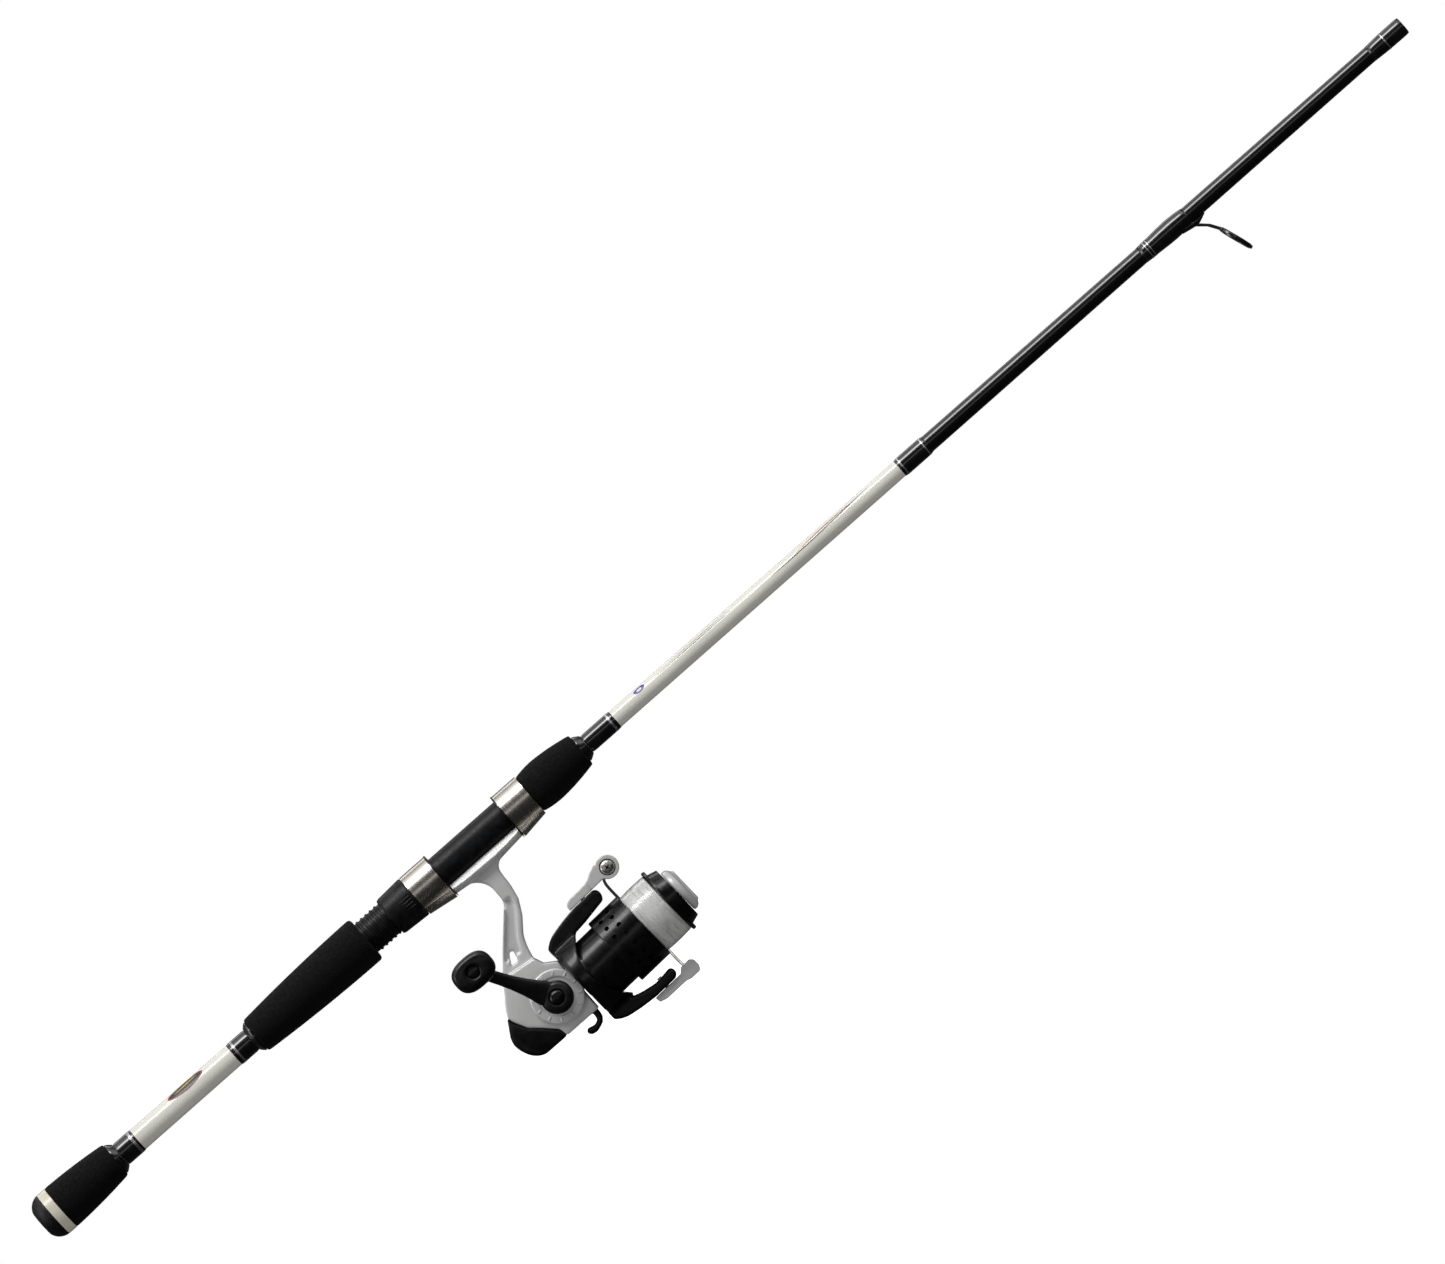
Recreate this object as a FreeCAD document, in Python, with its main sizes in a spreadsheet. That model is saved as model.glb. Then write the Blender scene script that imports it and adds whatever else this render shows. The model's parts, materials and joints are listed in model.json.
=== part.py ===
import FreeCAD, Part
import Sketcher
import math
import os

# A two-piece spinning rod's butt section with its reel in place.
# Frame: the rod's axis is +X from the butt end to the ferrule, the reel hangs towards -Z,
# and the crank is on the -Y side. The origin is on the rod's axis, in the butt's end face.
# Inside a piece, X is the axis that the piece turns or lies along.

Vector = FreeCAD.Vector
document = FreeCAD.newDocument("fishing_rod_and_reel")
sheet = document.addObject("Spreadsheet::Sheet", "dims")

# Driving dimensions, in millimetres and degrees. Names that end in _at are stations along X.
DRIVING = {
    # blank
    "rod_length": 927, "blank_start_at": 3.5, "blank_root": 6.4, "blank_mid": 6.2,
    "blank_fore": 5.0, "blank_end": 4.4, "blank_mid_at": 145, "blank_fore_at": 370,
    "blank_wall": 1.2, "socket_radius": 3.4, "socket_depth": 60,
    # butt and grips
    "butt_radius": 12.8, "cap_end_at": 7.7, "ring_end_at": 12.8, "rear_grip_end_at": 50.1,
    "rear_grip_nose": 10.2, "rear_check_end_at": 53.7, "rear_wrap_end_at": 65.4,
    "mid_wrap_at": 130.8, "mid_check_at": 142.6, "mid_grip_at": 145.6,
    "mid_grip_tail": 10.2, "mid_grip_nose": 13.2, "wrap_height": 0.25,
    "fore_grip_peak": 12.5, "fore_grip_end_at": 366.9, "fore_check_end_at": 371,
    "fore_wrap_end_at": 390.4, "transition_at": 584.1, "transition_end_at": 603,
    "guide_wrap_at": 749.1, "guide_wrap_end_at": 779.8, "ferrule_wrap_at": 904.5,
    # reel seat
    "seat_at": 220.8, "seat_end_at": 332.1, "seat_radius": 9.3, "seat_bore": 7.4,
    "thread_root": 9.2, "thread_crest": 9.8, "thread_pitch": 3.0, "thread_end_at": 254,
    "nut_at": 237.1, "slide_hood_at": 253.8, "slide_hood_end_at": 270, "hood_radius": 12,
    "hood_bore": 10.0, "hood_wall": 0.8, "fixed_hood_at": 316.6,
    # reel frame
    "reel_at": 287.7, "spool_drop": 90.4, "spool_tilt": 2.6, "case_half": 13,
    "crank_back": 12.8, "crank_rise": 3.8, "crank_lean": 30.3, "crank_reach": 44,
    "case_front": 0.9, "case_floor": 14.6, "shell_wall": 2.3, "stem_width": 9.5,
    # drive
    "gear_face": 4.0, "shaft_radius": 1.5, "pinion_bore": 1.6, "pinion_hub": 2.6, "pinion_teeth": 8,
    "gear_teeth": 40, "gear_radius": 11.3, "axle_radius": 2.3, "spur_teeth": 20,
    "spur_pitch_radius": 7.5, "stroke": 12,
    # rotor, spool and bail
    "cup_radius": 17.4, "cup_wall": 1.2, "cup_front": 30, "arm_top": 30.9, "arm_half": 6.5,
    "skirt_radius": 20, "skirt_wall": 1.3, "skirt_back": 24, "line_back": 44.3,
    "line_front": 60.9, "arbor_radius": 12, "lip_radius": 19.8, "line_radius": 18.0,
    "bail_at": 31, "bail_seat": 31.2, "roller_at": 51.4, "roller_out": 34.2,
    "wire_radius": 0.8, "wire_at": 43.8, "knob_front": 74.2, "drag_knob_radius": 12.8,
    # line guide
    "guide_at": 791, "guide_drop": 25, "guide_lean": 17.9, "guide_outer": 9.9, "guide_bore": 7.6,
}
for row, (name, value) in enumerate(DRIVING.items(), start=1):
    sheet.set(f"A{row}", name)
    sheet.set(f"B{row}", str(value))
    sheet.setAlias(f"B{row}", name)
document.recompute()


class Size:
    """A number with the sheet expression that drives it."""

    def __init__(self, value, text):
        self.value = value
        self.text = text

    def __add__(self, other):
        other = as_size(other)
        return Size(self.value + other.value, f"({self.text} + {other.text})")

    def __sub__(self, other):
        other = as_size(other)
        return Size(self.value - other.value, f"({self.text} - {other.text})")

    def __mul__(self, other):
        other = as_size(other)
        return Size(self.value * other.value, f"({self.text} * {other.text})")

    def __truediv__(self, other):
        other = as_size(other)
        return Size(self.value / other.value, f"({self.text} / {other.text})")

    def __rsub__(self, other):
        return as_size(other) - self

    def __neg__(self):
        return Size(-self.value, f"(0 - {self.text})")


def as_size(number):
    return number if isinstance(number, Size) else Size(float(number), f"({float(number)})")


class Cells:
    """The sheet's cells, read as sizes by their alias."""

    def __getattr__(self, name):
        return Size(float(DRIVING[name]), f"dims.{name}")


dim = Cells()


def bind(thing, path, size):
    """Ties a property to the sheet when the size comes from it."""
    if "dims." in size.text:
        thing.setExpression(path, size.text)


def place(thing, base=(0, 0, 0), rotation=None):
    """Gives a piece its Placement, from sizes and a rotation."""
    base = [as_size(part) for part in base]
    turn = rotation or FreeCAD.Rotation()
    thing.Placement = FreeCAD.Placement(Vector(*[part.value for part in base]), turn)
    for axis, part in zip("xyz", base):
        bind(thing, f"Placement.Base.{axis}", part)


REEL_BASE = (dim.reel_at, 0, -dim.spool_drop)
TILT = FreeCAD.Rotation(Vector(0, 1, 0), -DRIVING["spool_tilt"])
CRANK_BASE = (dim.reel_at - dim.crank_back, 0, dim.crank_rise - dim.spool_drop)
OUTWARD = FreeCAD.Rotation(Vector(0, 0, 1), -90)
SPRING_AXIS = FreeCAD.Rotation(Vector(0, 1, 0), 90)
TILT_COS = math.cos(math.radians(DRIVING["spool_tilt"]))
TILT_SIN = math.sin(math.radians(DRIVING["spool_tilt"]))
LEANING = FreeCAD.Rotation(Vector(0, 1, 0), -DRIVING["crank_lean"]).multiply(OUTWARD)


def on_spool_axis(along, up=0):
    """A point of the reel's tilted frame, as sizes of the rod's frame."""
    along, up = as_size(along), as_size(up)
    return (dim.reel_at + along * TILT_COS - up * TILT_SIN, 0,
            along * TILT_SIN + up * TILT_COS - dim.spool_drop)


NORMAL_SIGN = {"XY": 1, "YZ": 1, "XZ": -1}


def draw_segment(sketch, start, end, bulge):
    """Adds a line or an arc and returns the point numbers of its two ends."""
    first = Vector(start[0].value, start[1].value, 0)
    last = Vector(end[0].value, end[1].value, 0)
    if bulge is None:
        sketch.addGeometry(Part.LineSegment(first, last))
        return 1, 2
    chord = last - first
    rise = bulge.value
    side = 1 if rise > 0 else -1
    radius = chord.Length ** 2 / (8 * abs(rise)) + abs(rise) / 2
    left = Vector(-chord.y, chord.x, 0) / chord.Length
    centre = (first + last) / 2 + left * (rise - side * radius)
    from_angle, to_angle = [math.atan2(p.y - centre.y, p.x - centre.x) for p in (first, last)]
    if side > 0:
        from_angle, to_angle = to_angle, from_angle
    while to_angle < from_angle:
        to_angle += 2 * math.pi
    circle = Part.Circle(centre, Vector(0, 0, 1), radius)
    sketch.addGeometry(Part.ArcOfCircle(circle, from_angle, to_angle))
    return (2, 1) if side > 0 else (1, 2)


def draw_loop(sketch, outline):
    """Draws a closed outline. A third number on a point bows the way to the next one leftwards."""
    points = [[as_size(number) for number in point] for point in outline]
    first = sketch.GeometryCount
    ends = []
    for index, point in enumerate(points):
        following = points[(index + 1) % len(points)]
        bulge = point[2] if len(point) > 2 else None
        ends.append(draw_segment(sketch, point, following, bulge))
    for index in range(len(points)):
        following = (index + 1) % len(points)
        sketch.addConstraint(Sketcher.Constraint(
            "Coincident", first + index, ends[index][1], first + following, ends[following][0]))
    for index, point in enumerate(points):
        for kind, number in (("DistanceX", point[0]), ("DistanceY", point[1])):
            constraint = sketch.addConstraint(Sketcher.Constraint(
                kind, -1, 1, first + index, ends[index][0], number.value))
            bind(sketch, f"Constraints[{constraint}]", number)
        if len(point) > 2:
            following = points[(index + 1) % len(points)]
            across, along = following[0] - point[0], following[1] - point[1]
            rise = point[2] if point[2].value > 0 else -point[2]
            radius = (across * across + along * along) / (rise * 8) + rise / 2
            constraint = sketch.addConstraint(Sketcher.Constraint(
                "Radius", first + index, radius.value))
            bind(sketch, f"Constraints[{constraint}]", radius)


def draw_circle(sketch, centre, radius):
    index = sketch.GeometryCount
    across, along, radius = as_size(centre[0]), as_size(centre[1]), as_size(radius)
    middle = Vector(across.value, along.value, 0)
    sketch.addGeometry(Part.Circle(middle, Vector(0, 0, 1), radius.value))
    for kind, number in (("DistanceX", across), ("DistanceY", along)):
        constraint = sketch.addConstraint(Sketcher.Constraint(kind, -1, 1, index, 3, number.value))
        bind(sketch, f"Constraints[{constraint}]", number)
    constraint = sketch.addConstraint(Sketcher.Constraint("Radius", index, radius.value))
    bind(sketch, f"Constraints[{constraint}]", radius)


class Circle:
    """A round outline, for use beside the point lists."""

    def __init__(self, centre, radius):
        self.centre = centre
        self.radius = radius


class Piece:
    """One sub-part: a PartDesign body built up by features in its own frame."""

    def __init__(self, label, base=(0, 0, 0), rotation=None):
        self.body = document.addObject("PartDesign::Body", label)
        self.body.Label = label
        self.body.AllowCompound = True
        self.label = label
        self.steps = 0
        place(self.body, base, rotation)

    def feature(self, kind, word):
        self.steps += 1
        return self.body.newObject(kind, f"{self.label}_{word}_{self.steps}")

    def origin(self, role):
        return [item for item in self.body.Origin.OriginFeatures if item.Role == role][0]

    def sketch(self, plane, outlines, offset=0):
        """A sketch on one of the body's origin planes, moved along its normal."""
        drawing = self.feature("Sketcher::SketchObject", "sketch")
        drawing.AttachmentSupport = [(self.origin(f"{plane}_Plane"), "")]
        drawing.MapMode = "FlatFace"
        offset = as_size(offset)
        drawing.AttachmentOffset = FreeCAD.Placement(Vector(0, 0, offset.value), FreeCAD.Rotation())
        bind(drawing, "AttachmentOffset.Base.z", offset)
        for outline in outlines:
            if isinstance(outline, Circle):
                draw_circle(drawing, outline.centre, outline.radius)
            else:
                draw_loop(drawing, outline)
        return drawing

    def turn(self, *outlines, angle=360, cut=False):
        """Turns outlines of (along, radius) points about X. A part turn is centred on the sketch."""
        drawing = self.sketch("XZ", outlines)
        made = self.feature("PartDesign::Groove" if cut else "PartDesign::Revolution", "turn")
        made.Profile = drawing
        made.ReferenceAxis = (drawing, ["H_Axis"])
        made.Angle = angle
        made.Midplane = angle < 360
        return made

    def slab(self, plane, outlines, low, high, cut=False):
        """A pad, or a pocket, between two levels measured square to an origin plane."""
        low, high = as_size(low), as_size(high)
        upward = NORMAL_SIGN[plane] > 0
        start = (high if upward else -low) if cut else (low if upward else -high)
        drawing = self.sketch(plane, outlines, start)
        made = self.feature("PartDesign::Pocket" if cut else "PartDesign::Pad", "slab")
        made.Profile = drawing
        made.Length = (high - low).value
        bind(made, "Length", high - low)
        return made

    def helix(self, outline, pitch, length):
        """A ridge of the outline's section that winds along X."""
        drawing = self.sketch("XZ", [outline])
        made = self.feature("PartDesign::AdditiveHelix", "helix")
        made.Profile = drawing
        made.ReferenceAxis = (drawing, ["H_Axis"])
        made.Mode = "pitch-height-angle"
        made.Pitch = as_size(pitch).value
        made.Height = as_size(length).value
        bind(made, "Pitch", as_size(pitch))
        bind(made, "Height", as_size(length))
        return made

    def around(self, made, count):
        """Repeats a feature in a full circle about X."""
        document.recompute()
        pattern = self.feature("PartDesign::PolarPattern", "pattern")
        pattern.Originals = [made]
        pattern.Axis = (self.origin("X_Axis"), [""])
        pattern.Angle = 360
        pattern.Occurrences = count
        self.body.Tip = pattern
        return pattern


def blank_radius(station):
    """The blank's outer radius at a station: three straight tapers."""
    station = as_size(station)
    tapers = [
        (dim.blank_start_at, dim.blank_root, dim.blank_mid_at, dim.blank_mid),
        (dim.blank_mid_at, dim.blank_mid, dim.blank_fore_at, dim.blank_fore),
        (dim.blank_fore_at, dim.blank_fore, dim.rod_length, dim.blank_end),
    ]
    for near, near_radius, far, far_radius in tapers:
        if station.value <= far.value:
            break
    share = (station - near) / (far - near)
    return near_radius + (far_radius - near_radius) * share


def ring_on_blank(*outer):
    """The outline of a ring round the blank, from its outer (station, radius) points."""
    start, end = outer[0][0], outer[-1][0]
    bore = blank_radius(start)
    return [(start, bore), *outer, (end, bore)]


def sleeve(label, *outer):
    """A single piece round the blank."""
    piece = Piece(label)
    piece.turn(ring_on_blank(*outer))
    return piece


# ---------------------------------------------------------------- blank, butt and grips

def make_blank():
    """A tapered tube whose far end is bored as the ferrule socket."""
    end = dim.rod_length
    socket_at = end - dim.socket_depth
    piece = Piece("blank")
    piece.turn([
        (dim.blank_start_at, dim.blank_root), (dim.blank_mid_at, dim.blank_mid),
        (dim.blank_fore_at, dim.blank_fore), (end, dim.blank_end),
        (end, dim.socket_radius), (socket_at, dim.socket_radius),
        (socket_at, dim.socket_radius - 0.4),
        (dim.blank_fore_at, dim.blank_fore - dim.blank_wall),
        (dim.blank_mid_at, dim.blank_mid - dim.blank_wall),
        (dim.blank_start_at, dim.blank_root - dim.blank_wall),
    ])


def make_butt():
    """A domed rubber cap over the blank's end, and the pale ring in front of it."""
    cap = Piece("butt_cap")
    cap.turn([
        (0, 0), (0, 7, 1.5), (dim.cap_end_at, dim.butt_radius), (dim.cap_end_at, dim.blank_root),
        (dim.blank_start_at, dim.blank_root), (dim.blank_start_at, 0),
    ])
    sleeve("butt_ring", (dim.cap_end_at, dim.butt_radius), (dim.ring_end_at, dim.butt_radius))


def make_grips():
    """Three foam grips. Each is a little fuller than a straight taper."""
    sleeve("rear_grip", (dim.ring_end_at, dim.butt_radius, 0.5),
           (dim.rear_grip_end_at - 0.8, dim.rear_grip_nose),
           (dim.rear_grip_end_at, dim.rear_grip_nose - 0.8))
    sleeve("mid_grip", (dim.mid_grip_at, dim.mid_grip_tail - 0.8),
           (dim.mid_grip_at + 0.8, dim.mid_grip_tail, 0.7),
           (dim.seat_at - 1.2, dim.mid_grip_nose), (dim.seat_at, dim.mid_grip_nose - 1.0))
    sleeve("fore_grip", (dim.seat_end_at, dim.fore_grip_peak - 1.3, 0.35),
           (dim.seat_end_at + 12, dim.fore_grip_peak, 0.5),
           (dim.fore_grip_end_at, dim.fore_grip_peak - 3))


def make_wraps():
    """Six thread wraps under gloss coats, the winding checks beside the grips, and the trims."""
    height = dim.wrap_height
    outlines = []
    for start, end in ((dim.rear_check_end_at, dim.rear_wrap_end_at),
                       (dim.mid_wrap_at, dim.mid_check_at),
                       (dim.fore_check_end_at, dim.fore_wrap_end_at)):
        crest = blank_radius(start) + height
        outlines.append(ring_on_blank((start, crest - 0.1), (start + 0.8, crest),
                                      (end - 0.8, crest), (end, crest - 0.15)))
    swell = blank_radius(dim.transition_at) + 0.1
    start, end = dim.transition_at, dim.transition_end_at
    outlines.append(ring_on_blank(
        (start, swell), (start + 1.2, swell + 0.24), (start + 2.8, swell + 0.24),
        (start + 5, swell + 0.45), (end - 5, swell + 0.45), (end - 2.8, swell + 0.24),
        (end - 1.2, swell + 0.24), (end, swell)))
    tail = blank_radius(dim.guide_wrap_at) + height
    outlines.append(ring_on_blank(
        (dim.guide_wrap_at, tail - 0.1), (dim.guide_wrap_at + 2, tail),
        (dim.guide_wrap_at + 8, tail), (dim.guide_wrap_end_at - 10, tail + 0.8),
        (dim.guide_wrap_end_at - 4, tail + 0.6), (dim.guide_wrap_end_at, tail)))
    edge = blank_radius(dim.ferrule_wrap_at)
    outlines.append(ring_on_blank(
        (dim.ferrule_wrap_at, edge + 0.05), (dim.ferrule_wrap_at + 9, edge + 0.5),
        (dim.rod_length - 2, edge + 0.6), (dim.rod_length, edge + 0.2)))
    lower = Piece("grip_wraps")
    lower.turn(*outlines[:3])
    upper = Piece("blank_wraps")
    upper.turn(*outlines[3:])
    checks = Piece("winding_checks")
    checks.turn(
        ring_on_blank((dim.rear_grip_end_at, 9.3, 0.15), (dim.rear_check_end_at, 6.9)),
        ring_on_blank((dim.mid_check_at, 6.9, 0.15), (dim.mid_grip_at, 9.3)),
        ring_on_blank((dim.fore_grip_end_at, 7.9, 0.3), (dim.fore_check_end_at, 5.7)))
    rear = blank_radius(dim.rear_check_end_at) + height
    mid = blank_radius(dim.mid_wrap_at) + height
    fore = blank_radius(dim.fore_check_end_at) + height
    places = [
        (dim.rear_wrap_end_at - 2.8, 1.4, rear), (dim.mid_wrap_at + 2.0, 1.2, mid),
        (dim.fore_wrap_end_at - 3.2, 1.2, fore), (dim.transition_at + 1.6, 0.8, swell + 0.24),
        (dim.transition_end_at - 2.4, 0.8, swell + 0.24), (dim.guide_wrap_at + 3.6, 0.6, tail),
        (dim.guide_wrap_at + 5.4, 0.6, tail), (dim.ferrule_wrap_at + 9.6, 0.7, edge + 0.52),
    ]
    trims = Piece("trim_threads")
    trims.turn(*[[(start, lower), (start, lower + 0.12), (start + width, lower + 0.12),
                  (start + width, lower)] for start, width, lower in places])


# ---------------------------------------------------------------- reel seat

def make_seat():
    """The threaded seat tube and the three arbors that centre it on the blank."""
    seat = Piece("reel_seat")
    seat.turn([
        (dim.seat_at, dim.seat_bore), (dim.seat_at, dim.thread_root),
        (dim.thread_end_at, dim.thread_root), (dim.thread_end_at, dim.seat_radius),
        (dim.seat_end_at, dim.seat_radius), (dim.seat_end_at, dim.seat_bore),
    ])
    root = dim.thread_root - 0.3
    start = dim.seat_at + 0.6
    seat.helix([(start, root), (start + 0.6, dim.thread_crest), (start + 1.4, dim.thread_crest),
                (start + 2.0, root)], dim.thread_pitch, dim.thread_end_at - dim.seat_at - 3.5)
    arbors = Piece("seat_arbors")
    rings = []
    for start in (dim.seat_at + 4, dim.seat_at + 48, dim.seat_end_at - 20):
        bore = blank_radius(start)
        rings.append([(start, bore), (start, dim.seat_bore), (start + 13, dim.seat_bore),
                      (start + 13, bore)])
    arbors.turn(*rings)


def hood(label, foot_side, far_side, bore, radius, flare, far_flare, wall):
    """A ring round the seat with a flared pocket below it for one end of the reel's foot."""
    piece = Piece(label)
    piece.turn([(foot_side, bore), (foot_side, radius), (far_side, radius), (far_side, bore)])
    piece.turn([(foot_side, -bore), (foot_side, -flare), (far_side, -far_flare),
                (far_side, -bore)], angle=96)
    beyond = foot_side + (foot_side - far_side) * 0.01
    piece.turn([(beyond, -(bore - 1)), (beyond, -(flare - wall)),
                (far_side + (foot_side - far_side) * 0.2, -(far_flare - wall)),
                (far_side + (foot_side - far_side) * 0.2, -(bore - 1))], angle=84, cut=True)
    return piece


def make_hoods():
    """The fixed hood, the sliding hood, and the nut that drives the sliding one."""
    wall = dim.hood_wall
    hood("fixed_hood", dim.fixed_hood_at, dim.seat_end_at, dim.seat_radius, dim.hood_radius,
         14.6, 12.5, wall)
    hood("sliding_hood", dim.slide_hood_end_at, dim.slide_hood_at, dim.hood_bore, dim.hood_radius,
         14.8, 12.3, wall)
    nut = Piece("lock_nut")
    end = dim.slide_hood_at - 0.3
    nut.turn([(dim.nut_at, dim.hood_bore), (dim.nut_at, 10.6), (dim.nut_at + 1.4, 11.2),
              (end - 1, 12.0), (end, 11.7), (end, dim.hood_bore)])
    flutes = []
    for panel in range(6):
        for rib in range(4):
            angle = math.radians(panel * 60 + (rib - 1.5) * 9)
            flutes.append(Circle((12.3 * math.cos(angle), 12.3 * math.sin(angle)), 0.75))
    nut.slab("YZ", flutes, dim.nut_at - 1, end - 1.6, cut=True)


# ---------------------------------------------------------------- line guide

def make_guide():
    """A single-foot guide: a leaning wire frame and the hard ring inside it."""
    base = (dim.guide_at, 0, -dim.guide_drop)
    lean = FreeCAD.Rotation(Vector(0, 1, 0), -DRIVING["guide_lean"])
    frame = Piece("guide_frame", base, lean)
    middle = dim.guide_outer - 1
    frame.turn([(-0.9, middle), (-0.9, dim.guide_outer - 0.3), (-0.5, dim.guide_outer),
                (0.5, dim.guide_outer), (0.9, dim.guide_outer - 0.3), (0.9, middle)])
    frame.slab("XZ", [[(-0.85, 9.3), (0.85, 9.3), (-0.6, 15), (-3.2, 19.8), (0.2, 20.9),
                       (-0.1, 21.3), (-5.6, 20.7), (-2.4, 15.4)]], -1.6, 1.6)
    ring = Piece("guide_ring", base, lean)
    bore = dim.guide_bore
    ring.turn([(-0.7, middle), (-1.2, middle - 0.3), (-1.2, bore + 0.5, -0.5), (1.2, bore + 0.5),
               (1.2, middle - 0.3), (0.7, middle)])


# ---------------------------------------------------------------- reel body

CASE_OUTLINE = [
    (-dim.case_front, 17.1), (-dim.case_front, -dim.case_floor), (-22, -dim.case_floor),
    (-23, -9.5), (-28.1, -4.4), (-34.8, 1.7), (-38.3, 8.4), (-39.4, 12, 0.4),
    (-33.2, 21.2), (-28.1, 28.8), (-9.2, 26.3), (-7.2, 21.2),
]
CAP_EDGE = [
    (-22.3, -dim.case_floor), (-23.3, -9.5), (-28.4, -4.4), (-35.1, 1.7), (-38.6, 8.4), (-39.8, 12),
]


def make_reel_body():
    """The foot, the stem and the gear case in one casting, open on the +Y side and at the back."""
    body = Piece("reel_body", REEL_BASE)
    cover_at = dim.case_half - 2.5
    body.slab("XZ", [CASE_OUTLINE], -dim.case_half, cover_at)
    half = dim.stem_width / 2
    body.slab("XZ", [[
        (-30, 25), (-28.1, 28.8), (-17.9, 40.6), (-4.1, 55.4, -0.8), (-1.5, 61),
        (-1.5, 67, -1.6), (-9, 76.4), (-9, 78), (13, 78), (13, 75.8, -1.6), (7.1, 70),
        (6.6, 62), (5.1, 54.4), (1, 46.7), (-5.1, 39, -0.6), (-9.2, 26.3), (-12, 23),
    ]], -half, half)
    axis_up = dim.spool_drop
    foot = body.sketch("XZ", [[
        (-30.2, axis_up - 9.4), (-30.2, axis_up - 11.1), (-17.9, axis_up - 13.2),
        (-8, axis_up - 14.3), (11, axis_up - 14.9), (28.9, axis_up - 13.2),
        (38, axis_up - 11.1), (38, axis_up - 9.4),
    ]])
    line = Part.LineSegment(Vector(0, axis_up.value, 0), Vector(10, axis_up.value, 0))
    index = foot.addGeometry(line, True)
    foot.addConstraint(Sketcher.Constraint("Horizontal", index))
    foot.addConstraint(Sketcher.Constraint("DistanceX", -1, 1, index, 1, 0))
    foot.addConstraint(Sketcher.Constraint("DistanceX", index, 1, index, 2, 10))
    height = foot.addConstraint(Sketcher.Constraint("DistanceY", -1, 1, index, 1, axis_up.value))
    bind(foot, f"Constraints[{height}]", axis_up)
    sector = body.feature("PartDesign::Revolution", "foot")
    sector.Profile = foot
    sector.ReferenceAxis = (foot, ["Axis0"])
    sector.Angle = 74
    sector.Midplane = True
    wall = dim.shell_wall
    body.slab("XZ", [[
        (-dim.case_front - 2, 14.5), (-dim.case_front - 2, wall - dim.case_floor),
        (-50, wall - dim.case_floor), (-50, 9.6), (-37.2, 11.6), (-31.2, 20.2), (-27, 25),
        (-11, 24), (-9.4, 20),
    ]], 2.5 - dim.case_half, dim.case_half, cut=True)
    body.slab("YZ", [Circle((0, 0), 12)], -6, 2, cut=True)
    crank = (-dim.crank_back, dim.crank_rise)
    body.slab("XZ", [Circle(crank, 4.4)], -20, -5, cut=True)
    window = [(-20.6, 30.5), (-17, 36.5), (-14.6, 36.5), (-16, 30.5)]
    body.slab("XZ", [window], -20, 20, cut=True)
    recess = [(-22, 34), (-18.5, 38.5), (-6.5, 51.5), (-2.2, 58), (2.2, 58), (1.4, 53),
              (-2.6, 47.5), (-8.4, 40), (-12, 33)]
    for low, high in ((-half - 1, 2 - half), (half - 2, half + 1)):
        body.slab("XZ", [recess], low, high, cut=True)
    body.slab("XZ", [[(-6.6, -20), (-6.6, -11), (-1.4, -11), (-1.4, -20)]], -3.4, 3.4, cut=True)
    body.slab("YZ", [Circle((0, -13.2), 0.7)], -8.2, 2, cut=True)


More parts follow.
